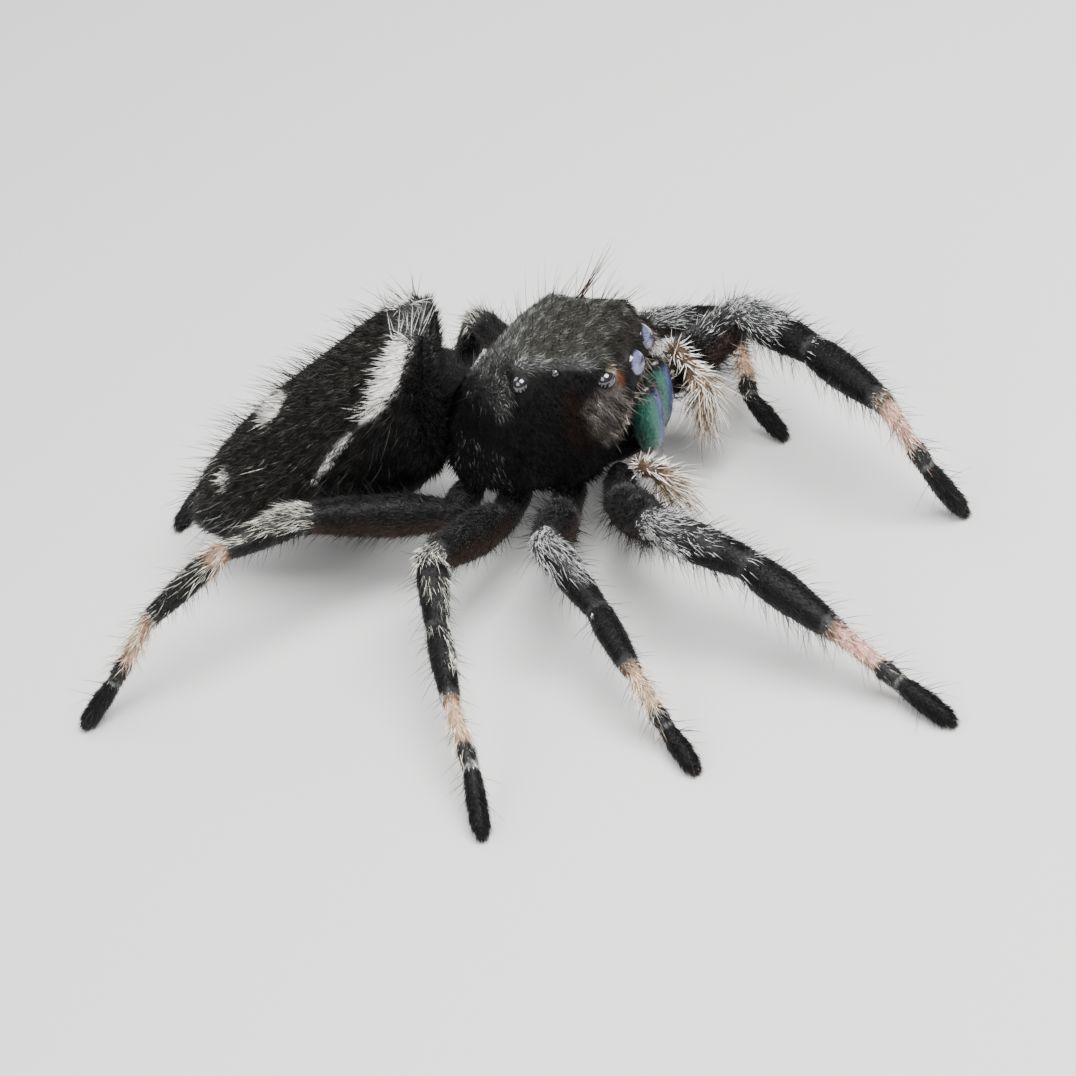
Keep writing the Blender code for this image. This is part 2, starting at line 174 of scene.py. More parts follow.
def cosine(degrees):
    """The cosine of degrees."""
    return np.cos(np.radians(degrees))


def sine(degrees):
    """The sine of degrees."""
    return np.sin(np.radians(degrees))


def unit(v):
    """Vectors over their lengths."""
    return v / np.maximum(np.linalg.norm(v, axis=-1, keepdims=True), 1e-12)


def dot(a, b):
    """The product of two vectors, row by row."""
    return (a * b).sum(-1, keepdims=True)


def powered(x, power):
    """The power of a size, with its sign kept."""
    return np.sign(x) * np.abs(x) ** power


def between(x, low, high):
    """0 below low, 1 above high, and a smooth step between them."""
    t = np.clip((x - low) / (high - low), 0, 1)
    return t * t * (3 - 2 * t)


def band(x, low, high, soft):
    """1 between low and high, fading to 0 over soft outside them."""
    return between(x, low - soft, low) * (1 - between(x, high, high + soft))


def smooth_between(table, x):
    """Cubic Hermite curve through a table of (place, value), with slopes of its neighbours."""
    xs, ys = (np.array(column, dtype=float) for column in zip(*table))
    slopes = np.gradient(ys, xs)
    x = np.asarray(x, float)
    i = np.clip(np.searchsorted(xs, x) - 1, 0, len(xs) - 2)
    step = xs[i + 1] - xs[i]
    t = np.clip((x - xs[i]) / step, 0, 1)
    return ((2 * t**3 - 3 * t**2 + 1) * ys[i] + (t**3 - 2 * t**2 + t) * step * slopes[i]
            + (3 * t**2 - 2 * t**3) * ys[i + 1] + (t**3 - t**2) * step * slopes[i + 1])


def layered(tint, *layers):
    """A colour with others laid over it in turn, each a (colour, share) with one share a row."""
    for colour, share in layers:
        share = np.asarray(share)[..., None]
        tint = tint * (1 - share) + colour * share
    return tint


# ---------------------------------------------------------------- surfaces of the body

# points is a grid of rings, along tells where each ring lies, and turns is each column's place
# round the ring, in degrees.
Surface = namedtuple("Surface", "name points along turns")
UP = np.array((0.0, 0.0, 1.0))
END_ARC = np.array((25, 50, 70, 88))  # where the rings that round off an end lie on its quarter circle
RINGS_APART = 1e-3  # how far apart such rings count along a surface


def close_ends(points, along, bulge):
    """Rings that round off both ends: the end ring scaled by a quarter circle's cosine and moved
    out by its sine times bulge."""
    out = []
    for end, inner in ((points[0], points[1]), (points[-1], points[-2])):
        middle = end.mean(0)
        away = unit(middle - inner.mean(0))
        out.append(middle + cosine(END_ARC)[:, None, None] * (end - middle)
                   + (sine(END_ARC) * bulge)[:, None, None] * away)
    steps = np.arange(1, len(END_ARC) + 1) * RINGS_APART
    points = np.concatenate([out[0][::-1], points, out[1]])
    return points, np.concatenate([along[0] - steps[::-1], along, along[-1] + steps])


def ring_turns(columns):
    """Equal steps round a ring, in degrees."""
    return np.arange(columns) * (360 / columns)


def cross_axes(facing):
    """The level direction to the side of each facing one, and the one square to both."""
    side = unit(np.cross(facing, UP))
    return side, np.cross(side, facing)


def tube_surface(name, path, along, wide, high, columns, bulge):
    """Ellipses of half width wide and half height high square to a path, their width level."""
    side, up = cross_axes(unit(np.gradient(path, axis=0)))
    turns = ring_turns(columns)
    points = (path[:, None]
              + (wide[:, None] * cosine(turns))[..., None] * side[:, None]
              + (high[:, None] * sine(turns))[..., None] * up[:, None])
    points, along = close_ends(points, along, bulge)
    return Surface(name, points, along, turns)


def station_surface(name, stations, sign, inset, columns, rows, bulge, squash=1.0):
    """A tube through stations of (forward, sideways, up, half thickness), squash times as high as
    it is wide."""
    stations = np.array(stations)
    reach = np.linspace(0, 1, len(stations))
    s = np.linspace(0, 1, rows)
    forward, side, up, radius = (smooth_between(tuple(zip(reach, column)), s) for column in stations.T)
    radius = radius - inset
    return tube_surface(name, at(forward, sign * side, up), s, radius, radius * squash, columns, bulge)


def ball_surface(name, middle, radius, facing, columns=32, rows=20):
    """A sphere as rings about the direction it faces, from its back to its front."""
    fall = np.linspace(0.02, math.pi - 0.02, rows)
    side, up = cross_axes(facing)
    turns = ring_turns(columns)
    ring = cosine(turns)[:, None] * side + sine(turns)[:, None] * up
    points = middle + radius * (np.sin(fall)[:, None, None] * ring
                                - np.cos(fall)[:, None, None] * facing)
    return Surface(name, points, fall / math.pi, turns)


def rings_between(start, length, end_gap, count):
    """Places along a body, closer together towards its ends, as the cosine of equal angles."""
    return start + length * (0.5 - 0.5 * np.cos(np.linspace(end_gap, math.pi - end_gap, count)))


def abdomen_frame():
    """The abdomen's start, and its directions back, left and up."""
    back = heading(180 + ABDOMEN_SWING, -ABDOMEN_DROOP)
    left, up = cross_axes(back)
    return at(*ABDOMEN_START), back, left, up


def abdomen_points(place, turn, inset):
    """The abdomen's surface at a place along it (0 to 1) and a turn round it (0 left, 90 top):
    an ellipse, squared off above by its power, that leans forward with height near the blunt
    front end."""
    start, back, left, up = abdomen_frame()
    c, s = cosine(turn), sine(turn)
    power = 2 / np.where(s > 0, smooth_between(ABDOMEN_SQUARE, place), 2.0)
    c, s = powered(c, power), powered(s, power)
    wide, rise, drop = (smooth_between(table, place) - inset
                        for table in (ABDOMEN_WIDTH, ABDOMEN_RISE, ABDOMEN_DROP))
    high = np.where(s > 0, rise, drop) * s
    lean = np.where(s > 0, *ABDOMEN_LEAN) * np.maximum(0, 1 - 2 * np.asarray(place))
    return (start + (place * ABDOMEN_LENGTH)[..., None] * back + (wide * c)[..., None] * left
            + high[..., None] * (up - lean[..., None] * back))


def abdomen_surface(inset):
    """Rings of abdomen_points(), closer together towards its two rounded ends."""
    place = rings_between(0, 1, end_gap=0.12, count=74)
    turns = ring_turns(96)
    grid = np.meshgrid(place, turns, indexing="ij")
    points, along = close_ends(abdomen_points(*grid, inset), place, bulge=0.10)
    return Surface("abdomen", points, along, turns)


def raise_mounds(points):
    """Lifts points up and outwards near each mound's middle, by a bell curve of the distance."""
    for forward, sideways, up, width, height in EYE_MOUNDS:
        for sign in (-1, 1):
            away = np.linalg.norm(points - at(forward, sign * sideways, up), axis=-1)
            lift = height * np.exp(-((away / width) ** 2))
            points = points + lift[..., None] * heading(sign * 90, MOUND_RISE)
    return points


def carapace_surface(inset):
    """Rings of a squared-off arch over a flat underside, from the sloping rear to the face. The
    columns run from the left foot of the arch (0) over its top (90) to the right (180), and back
    under it."""
    forward = rings_between(-2.3, 4.86, end_gap=0.1, count=70)
    turns = np.concatenate([np.linspace(0, 180, 61), np.linspace(180, 360, 15)[1:-1]])
    arch = np.minimum(turns, 180)
    below = turns > 180
    width, top, low, square = (smooth_between(table, forward)[:, None] for table in (
        CARAPACE_WIDTH, CARAPACE_TOP, CARAPACE_LOW, CARAPACE_SQUARE))
    z = np.where(below, 0, np.abs(sine(arch))) ** (2 / square)
    under = np.where(below, (turns - 270) / 90, 0)
    x = np.where(below, under, powered(cosine(arch), 2 / square) * (1 - CARAPACE_TAPER * z))
    dip = np.where(below, 0.04 * (1 - under**4), 0)
    low = low + inset * 0.5
    points = at(forward[:, None] + 0 * x, (width - inset) * x, low + (top - inset - low) * z - dip)
    points, along = close_ends(raise_mounds(points), forward, bulge=0.05)
    return Surface("carapace", points, along, turns)


def leg_joints(side, pair):
    """Joints of a leg, from the coxa's start to the foot, which is set on the floor."""
    azimuths, rises = STANCE[(side, pair)]
    sign = 1 if side == "left" else -1
    forward, sideways, up = HIPS[pair]
    places = [at(forward * 0.86, sign * COXA_START, up - 0.05), at(forward, sign * sideways, up)]
    for azimuth, rise, length in zip(azimuths, rises, LENGTHS[pair]):
        places.append(places[-1] + heading(azimuth, rise) * length)
    last = LENGTHS[pair][-1]
    fall = math.degrees(math.asin(min(0.999, (places[-1][2] - FOOT_HEIGHT) / last)))
    places.append(places[-1] + heading(azimuths[-1], -fall) * last)
    return np.array(places)


RING_STEP = 0.045  # between the rings of a leg
BEND_BELL, BEND_RINGS = 0.11, 8  # spread of the bell curve that softens a joint, and its reach
SHANK_STRETCH = (3.10, 3.62, 0.12)  # its hairs stand out, so its skin lies deeper


def leg_surface(side, pair):
    """A leg from coxa to foot as one tube. Its line is the line of joints, softened by a running
    mean weighted by a bell curve. along is -1 to 0 on the coxa, 0 to 1 on the femur and so on to
    5 at the foot."""
    joints = leg_joints(side, pair)
    reach = np.concatenate([[0], np.cumsum(np.linalg.norm(np.diff(joints, axis=0), axis=1))])
    s = np.arange(0, reach[-1] + RING_STEP / 2, RING_STEP)
    along = np.interp(s, reach, np.arange(7) - 1.0)
    bell = np.exp(-0.5 * (np.arange(-BEND_RINGS, BEND_RINGS + 1) * RING_STEP / BEND_BELL) ** 2)
    line = np.stack([np.interp(s, reach, column) for column in joints.T], axis=1)
    head, tail = line[:1] - line[1:2], line[-1:] - line[-2:-1]
    out = np.arange(BEND_RINGS, 0, -1)[:, None]
    padded = np.concatenate([line[:1] + out * head, line, line[-1:] + out[::-1] * tail])
    path = np.stack([np.convolve(column, bell / bell.sum(), "valid") for column in padded.T], axis=1)
    thick = np.array(THICKNESS[pair])
    inset = np.interp(thick, (0.25, 0.56), (COAT["foot"], COAT["leg"]))
    bare = np.interp(along, (-1, -0.2, 0.35, 1.4, 2.4, 3.4, 4.4), (0.30, 0.34, *(thick - inset)))
    shape = smooth_between(SEGMENT_SHAPE, np.mod(along, 1.0))
    shape = np.where(along > 4.5, np.interp(along, (4.5, 4.86, 5), (1, 0.92, 0.62)), shape)
    radius = bare * shape - (COAT["shank"] - COAT["foot"]) * band(along, *SHANK_STRETCH)
    femur = band(along, 0.15, 0.85, 0.15)
    surface = tube_surface(f"leg_{pair}_{side}", path, along, radius * (1 - 0.10 * femur),
                           radius * (1 + 0.06 * femur), columns=26, bulge=0.07)
    surface.points[..., 2] = np.maximum(surface.points[..., 2], 0.03)
    return surface


# ---------------------------------------------------------------- colours on the skin


def ribbon(points, path, half, soft=0.05):
    """1 on a ribbon along a line of points, whose half width changes from point to point, and 0
    outside it: the nearest point of every straight stretch gives distance and half width."""
    best = np.full(points.shape[:-1], -9.0)
    for a, b, wa, wb in zip(path, path[1:], half, half[1:]):
        step = b - a
        t = np.clip(((points - a) @ step) / (step @ step), 0, 1)
        gap = np.linalg.norm(points - a - t[..., None] * step, axis=-1)
        best = np.maximum(best, (wa + (wb - wa) * t) - gap)
    return between(best, -soft, 0.6 * soft)


# White marks on the abdomen as (place along it, turn round it, half width): the band round its
# front, the thin line behind each end of the band, the middle spot and the two rear spots.
BASAL_BAND = ((0.052, 108, 0.19), (0.066, 118, 0.25), (0.088, 130, 0.25), (0.108, 139, 0.22),
              (0.136, 144, 0.16), (0.165, 146.5, 0.09), (0.195, 146.5, 0.01))
THIN_LINE = ((0.228, 148.0, 0.015), (0.250, 149.4, 0.045), (0.280, 150.2, 0.03), (0.304, 151.2, 0.03),
             (0.334, 155, 0.04), (0.366, 157.3, 0.03), (0.405, 160, 0.0))
MIDDLE_SPOT = ((0.435, 90, 0.12), (0.465, 95, 0.23), (0.490, 98, 0.26), (0.508, 100, 0.18))
REAR_SPOT = ((0.752, 114, 0.10), (0.762, 122, 0.14), (0.770, 130, 0.09))
# Single pale hairs on each side, as (place along it, turn round it, length).
STRAY_HAIRS = ((0.545, 136, 0.95), (0.182, 139, 0.55), (0.150, 119, 0.32), (0.69, 147, 0.30))


def abdomen_white(points):
    """1 on the white marks of both sides and 0 off them."""
    marks = np.zeros(points.shape[:-1])
    for mark in (BASAL_BAND, THIN_LINE, MIDDLE_SPOT, REAR_SPOT):
        place, turn, half = np.array(mark).T
        for mirrored in (turn, 180 - turn):
            path = abdomen_points(place, mirrored, COAT["abdomen"])
            marks = np.maximum(marks, ribbon(points, path, half))
    return marks


def abdomen_tint(points, turns):
    """Brown-black on top as a painted highlight, and black below, with the white marks over them."""
    above = between(sine(turns), 0.0, 0.9)
    return layered(BLACK, (BROWN_BLACK, above * 0.6), (WHITE * 0.85, abdomen_white(points)))


# Marks on each side of the head as (sideways, forward, up, half width).
BROWS = (((1.10, 0.20, 1.95, 0.12), (1.14, 0.52, 2.01, 0.17), (1.14, 0.88, 1.94, 0.13)),
         ((1.10, 1.26, 1.90, 0.10), (1.08, 1.55, 1.87, 0.15), (1.10, 1.86, 1.76, 0.12)))
EYE_GAP = ((1.02, 1.08, 2.02, 0.03), (1.12, 1.08, 1.94, 0.05), (1.25, 1.10, 1.80, 0.05))
BEHIND_EYE = ((1.03, -0.50, 1.42, 0.18), (1.28, -0.18, 1.44, 0.25), (1.40, -0.36, 1.08, 0.20))
CHEEK = ((1.16, 2.33, 1.06, 0.15), (1.32, 2.05, 1.02, 0.20), (1.42, 1.85, 0.70, 0.30),
         (1.46, 1.80, 0.30, 0.20))
RED_SHADE = ((1.40, 1.35, 1.20, 0.15), (1.52, 1.35, 0.70, 0.30), (1.56, 1.30, 0.20, 0.25))
CREAM_SPOT = ((1.04, 2.28, 1.60, 0.05), (1.05, 2.33, 1.46, 0.08), (1.09, 2.33, 1.31, 0.06))
RED_SPOT = ((0.95, 2.42, 1.37, 0.08), (1.02, 2.41, 1.22, 0.09))


def side_mark(points, mark, soft=0.05):
    """The ribbon of a mark that both sides of the head have."""
    sideways, forward, up, half = np.array(mark).T
    one_side = points.copy()
    one_side[..., 0] = np.abs(one_side[..., 0])
    return ribbon(one_side, at(forward, sideways, up), half, soft)


def forward_up(points):
    """How far points are ahead of the body's middle and above it."""
    return -points[..., 1], points[..., 2] - BODY_HEIGHT


def carapace_marks(points):
    """Shares of the head's colours at each point, by name."""
    f, up = forward_up(points)
    brow = np.maximum(side_mark(points, BROWS[0]), side_mark(points, BROWS[1]))
    over_face = 0.42 * between(f, 1.9, 2.45)  # the olive top comes lower down over the front eyes
    return {
        "top": between(up + over_face, 1.62, 1.98) * between(f, -1.3, -0.4) * (1 - between(f, 2.5, 2.62)),
        "slope": band(f, -1.5, -0.25, 0.35) * between(up, 0.7, 1.4),
        "low": band(up, -0.65, 0.1, 0.2) * band(f, -1.7, -0.6, 0.3),
        "behind": side_mark(points, BEHIND_EYE, 0.14),
        "brow": brow * (1 - side_mark(points, EYE_GAP)),
        "cheek": side_mark(points, CHEEK, 0.13),
        "red": side_mark(points, RED_SHADE, 0.2),
        "cream": side_mark(points, CREAM_SPOT),
        "rust": side_mark(points, RED_SPOT),
    }


def carapace_tint(points):
    """Black, with each of the head's marks laid over it in its colour."""
    marks = carapace_marks(points)
    return layered(
        BLACK, (OLIVE * 0.3, marks["top"]),
        (GREY * 0.12, np.maximum(marks["slope"], marks["behind"]) * 0.7),
        (RUST * 0.06, marks["red"]), (GREY * (0.34, 0.28, 0.25), marks["cheek"]),
        (GREY * 0.22, marks["brow"]), (CREAM * 0.3, marks["cream"]), (RUST * 0.7, marks["rust"]))


def leg_whites(pair, side, along, turn):
    """The share of white hair on a leg: the most of what each mark gives. A mark is a stretch
    along the leg times a stretch round it times its strength."""
    s, c = sine(turn), cosine(turn)
    above = between(s, -0.3, 0.5)
    knee = band(along, 0.93, 1.08, 0.05) * between(s, -0.8, 0.2) * 0.8
    behind = band(along, 1.05, 1.35, 0.08) * between(c, 0.6, 0.9) * 0.6
    if pair == 1 and side == "right":
        marks = (behind, band(along, 0.98, 1.18, 0.06) * between(s, -0.5, 0.1) * 0.75,
                 band(along, 1.15, 1.7, 0.1) * between(s, 0.35, 0.8) * 0.24)
    elif pair == 1:
        marks = (behind, band(along, 0.98, 1.55, 0.12) * between(s, -0.1, 0.5) * 0.62,
                 band(along, 0.72, 1.0, 0.1) * between(s, 0.2, 0.7) * 0.28)
    elif pair == 2:
        marks = (behind, knee, band(along, 1.02, 1.55, 0.12) * band(turn, 80, 150, 25) * 0.55)
    elif pair == 3:
        marks = (knee, band(along, 1.35, 2.45, 0.08) * band(turn, 135, 172, 10) * 0.55,
                 band(along, 1.3, 1.65, 0.1) * band(turn, 66, 92, 10) * 0.35,
                 band(along, 2.42, 2.56, 0.04) * between(-c, 0.2, 0.8) * 0.7)
    else:
        marks = (knee, band(along, 1.0, 1.45, 0.10) * above * 0.42,
                 band(along, 1.66, 1.95, 0.05) * band(turn, 105, 150, 15) * 0.6,
                 band(along, 1.9, 2.3, 0.1) * 0.25,
                 band(along, 2.3, 2.8, 0.1) * above * 0.16)
    joint = band(along, 1.98, 2.03, 0.02) * above * 0.5 + band(along, 2.88, 2.95, 0.02) * 0.55
    return np.clip(np.max([*marks, joint], axis=0), 0, 1)


def leg_marks(pair, side, along, turns):
    """Shares of the leg's colours, by name. turn runs round the leg from its rear side (0) over
    the top (90) to its front side (180); on the left legs the sides change places."""
    turn = np.mod(turns if side == "right" else 180 - turns, 360)
    return {
        "white": leg_whites(pair, side, along, turn),
        "pale": band(along, 3.05, 3.60, 0.06),
        "ring": band(along, 3.965, 3.99, 0.015) * (0.8 if pair == 3 else 0.22),
        "grey": band(along, 3.66, 3.94, 0.06) * 0.3,
        "rust": band(along, 2.96, 3.05, 0.02) * (0.9 if pair == 4 else 0.35)
        + band(along, 1.98, 2.13, 0.04) * (pair == 4),
        "under": band(along, 0.1, 0.9, 0.1) * between(-sine(turn), -0.45, 0.5),
    }


# The bare colour of the pale stretch of each pair of legs.
SHANK = {1: PINK * (0.72, 0.62, 0.62), 2: TAN * 1.25, 3: TAN * 1.45, 4: TAN * (1.3, 1.15, 1.0)}


def leg_tint(pair, side, along, turns):
    """Black, with each of the leg's marks laid over it in its colour."""
    marks = leg_marks(pair, side, along, turns)
    return layered(
        BLACK, (RUST * 0.2, marks["under"]), (GREY * 0.5, marks["white"] * 0.5),
        (GREY * 0.3, marks["grey"]), (TAN, marks["rust"]), (SHANK[pair], marks["pale"]),
        (WHITE * 0.6, marks["ring"]))


def tint_of(surface):
    """Skin colour at a surface's own points, by the kind that its name begins with."""
    along, turns = np.meshgrid(surface.along, surface.turns, indexing="ij")
    kind, *which = surface.name.split("_")
    if kind == "abdomen":
        return abdomen_tint(surface.points, turns)
    if kind == "carapace":
        return carapace_tint(surface.points)
    if kind == "leg":
        return leg_tint(int(which[0]), which[1], along, turns)
    if kind == "palp":
        start = PALP_TIP_FROM[which[0]]
        return layered(TAN * 0.22, (TAN * 0.5, between(along, start - 0.05, start + 0.1)))
    return BLACK


# ---------------------------------------------------------------- meshes


def new_mesh(name, points, corners, sizes, tint, uv=None):
    """A mesh from arrays, in metres in the solids' frame. corners lists the faces' corners one
    face after another, sizes how many each face has."""
    mesh = bpy.data.meshes.new(name)
    mesh.vertices.add(len(points))
    mesh.vertices.foreach_set("co", ((points + MIDDLE) * MM).astype(np.float32).ravel())
    mesh.loops.add(len(corners))
    mesh.loops.foreach_set("vertex_index", corners.astype(np.int32))
    mesh.polygons.add(len(sizes))
    starts = np.concatenate([[0], np.cumsum(sizes)[:-1]])
    mesh.polygons.foreach_set("loop_start", starts.astype(np.int32))
    colour = np.concatenate([tint, np.ones((len(tint), 1))], axis=1).astype(np.float32)
    layer = mesh.color_attributes.new("tint", "FLOAT_COLOR", "POINT")
    layer.data.foreach_set("color", colour.ravel())
    if uv is not None:
        layer = mesh.uv_layers.new(name="OFBake")
        layer.uv.foreach_set("vector", uv[corners].astype(np.float32).ravel())
    mesh.update()
    mesh.shade_smooth()
    return mesh


def linked(name, data):
    """A new object of the data, put in the scene."""
    obj = bpy.data.objects.new(name, data)
    bpy.context.scene.collection.objects.link(obj)
    return obj


def add_piece(name, mesh, finish, slot, replaces=()):
    """A piece of the spider: it rides on the one body and may stand for solids."""
    obj = linked(name, mesh)
    mesh.materials.clear()
    mesh.materials.append(finish)
    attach(obj, "root")
    if replaces:
        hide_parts(*replaces)


def surface_faces(surface):
    """Corners and face sizes of a closed surface: quads between rings, and one face over each
    end, all facing outwards."""
    rows, columns = surface.points.shape[:2]
    i, j = np.meshgrid(np.arange(rows - 1), np.arange(columns), indexing="ij")
    k = (j + 1) % columns
    quads = np.stack([i * columns + j, i * columns + k, (i + 1) * columns + k,
                      (i + 1) * columns + j], axis=-1).reshape(-1, 4)
    first, last = np.arange(columns)[::-1], (rows - 1) * columns + np.arange(columns)
    middle = rows // 2
    ring = surface.points[middle]
    a, b, c = ring[0], ring[1], surface.points[middle + 1][0]
    if np.cross(b - a, c - a) @ (a - ring.mean(0)) < 0:
        quads, first, last = quads[:, ::-1], first[::-1], last[::-1]
    sizes = np.concatenate([np.full((rows - 1) * columns, 4), [columns, columns]])
    return np.concatenate([quads.reshape(-1), first, last]), sizes


def mesh_of(name, surfaces, tint_for):
    """One mesh of several surfaces, each tinted by tint_for(surface)."""
    points, corners, sizes, tints, count = [], [], [], [], 0
    for surface in surfaces:
        points.append(surface.points.reshape(-1, 3))
        c, n = surface_faces(surface)
        corners.append(c + count)
        sizes.append(n)
        tints.append(np.broadcast_to(tint_for(surface), surface.points.shape).reshape(-1, 3))
        count += len(points[-1])
    return new_mesh(name, *(np.concatenate(part) for part in (points, corners, sizes, tints)))


def evaluated(obj):
    """An object's mesh with its modifiers applied."""
    graph = bpy.context.evaluated_depsgraph_get()
    return bpy.data.meshes.new_from_object(obj.evaluated_get(graph), depsgraph=graph)


def fuse(name, surfaces):
    """One closed skin round overlapping surfaces, made by voxels at a thousand times the size
    because voxels have a least size, softened, scaled back and tinted from the nearest surface."""
    source = linked("tint_source", mesh_of("tint_source", surfaces, tint_of))
    source.data.transform(Matrix.Scale(1 / MM, 4))
    work = linked("skin_work", source.data.copy())
    remesh = work.modifiers.new("voxels", "REMESH")
    remesh.mode, remesh.voxel_size, remesh.use_smooth_shade = "VOXEL", SKIN_VOXEL, True
    soften = work.modifiers.new("soften", "SMOOTH")
    soften.factor, soften.iterations = 0.5, 4
    work.data = evaluated(work)
    work.modifiers.clear()
    while work.data.color_attributes:
        work.data.color_attributes.remove(work.data.color_attributes[0])
    work.data.color_attributes.new("tint", "FLOAT_COLOR", "POINT")
    copy = work.modifiers.new("tint", "DATA_TRANSFER")
    copy.object, copy.use_vert_data = source, True
    copy.data_types_verts = {"COLOR_VERTEX"}
    copy.vert_mapping = "POLYINTERP_NEAREST"
    mesh = evaluated(work)
    mesh.transform(Matrix.Scale(MM, 4))
    mesh.name = name
    for obj in (work, source):
        bpy.data.objects.remove(obj, do_unlink=True)
    return mesh


# ---------------------------------------------------------------- hair

Roots = namedtuple("Roots", "place normal lie across along turn uv")
WHOLE = (0.0, 0.0, 1.0, 1.0)  # a surface's rectangle in its coat's unwrap: left, bottom, width, height
HAIR_PATCH = 0.003  # how wide one hair is in a coat's unwrap
SINK = 0.04  # how deep a hair starts below the skin
LIFT_SPREAD, CURL_SPREAD = 5, 6  # from hair to hair, in degrees
TAPER = 1.6  # how suddenly a hair narrows towards its tip
RING_ANGLES = (90, 210, 330)  # of a hair's three corners
rng = np.random.default_rng(7)


def roots_in(surface, i, j, s, t, patch):
    """Roots in the cells (i, j) of a surface's grid, at shares s along and t round each cell."""
    ring = surface.points.shape[1]
    a, b = surface.points[i, j], surface.points[i, (j + 1) % ring]
    d, c = surface.points[i + 1, j], surface.points[i + 1, (j + 1) % ring]
    s, t = s[:, None], t[:, None]
    near, far = a * (1 - t) + b * t, d * (1 - t) + c * t
    place = near * (1 - s) + far * s
    lie = unit(far - near)
    across = unit((b - a) * (1 - s) + (c - d) * s)
    normal = unit(np.cross(across, lie))
    outward = place - surface.points.mean(1)[i]
    normal = normal * np.where(dot(normal, outward) < 0, -1, 1)
    s, t = s[:, 0], t[:, 0]
    turn = surface.turns[j] + t * column_widths(surface)[j]
    along = surface.along[i] * (1 - s) + surface.along[i + 1] * s
    left, bottom, wide, high = patch
    uv = np.stack([left + wide * (j + t) / ring,
                   bottom + high * (i + s) / (len(surface.along) - 1)], 1)
    return Roots(place, normal, lie, across, along, turn, uv)


def column_widths(surface):
    """Degrees from each column of a surface to the next."""
    return np.diff(np.append(surface.turns, 360.0))


def pick_roots(surface, density, patch=WHOLE, share=None):
    """Random roots, as many per square millimetre as density says: a cell of the grid picked by
    its area times its share, then a place in it."""
    a, d = surface.points[:-1], surface.points[1:]
    b, c = np.roll(a, -1, axis=1), np.roll(d, -1, axis=1)
    area = 0.5 * np.linalg.norm(np.cross(c - a, d - b), axis=-1)
    along = 0.5 * (surface.along[:-1] + surface.along[1:])[:, None] + 0 * area
    turns = (surface.turns + 0.5 * column_widths(surface))[None] + 0 * area
    if share is not None:
        area = area * share(0.25 * (a + b + c + d), along, turns)
    total = np.cumsum(area.ravel())
    count = int(total[-1] * density * (1.0))
    cell = np.minimum(np.searchsorted(total, rng.random(count) * total[-1]), area.size - 1)
    s, t = rng.random((2, count))
    return roots_in(surface, cell // area.shape[1], cell % area.shape[1], s, t, patch)


def root_at(surface, along, turn):
    """Roots at chosen places along and round a surface."""
    i = np.clip(np.searchsorted(surface.along, along) - 1, 0, len(surface.along) - 2)
    j = np.clip(np.searchsorted(surface.turns, turn) - 1, 0, len(surface.turns) - 1)
    middle = np.full(len(i), 0.5)
    return roots_in(surface, i, j, middle, middle, WHOLE)


def take(roots, keep):
    """The roots that keep says."""
    return Roots(*(part[keep] for part in roots))


def waver(place):
    """Slow turning of the lie from place to place, in degrees, which gathers hairs into locks: a
    sum of sines of the place."""
    x, y, z = place.T
    return (7 * np.sin(6.1 * x + 3.3 * z + 2 * np.sin(4.7 * y)) + 6 * np.sin(8.3 * y - 5.9 * z + x)
            + 4 * np.sin(17 * x - 13 * y + 11 * z))


def lock_waver(place):
    """waver() at about half its scale and shifted, which tells one lock of hair from the next."""
    return waver(1.9 * place + 0.7)


def locks(place):
    """Brightness that rises and falls from one lock of hair to the next, never below 0."""
    return np.exp(0.065 * lock_waver(place))[:, None]


def lie_towards(roots, towards, scatter, wave=1.0):
    """Directions in the surface, towards a direction (one, or one for each root), turned from
    side to side by wave times waver() and by a normal spread of scatter degrees."""
    towards = np.broadcast_to(towards, roots.normal.shape)
    flat = unit(towards - roots.normal * dot(roots.normal, towards))
    turn = np.radians(wave * waver(roots.place) + rng.normal(0, scatter, len(flat)))[:, None]
    return flat * np.cos(turn) + np.cross(roots.normal, flat) * np.sin(turn)


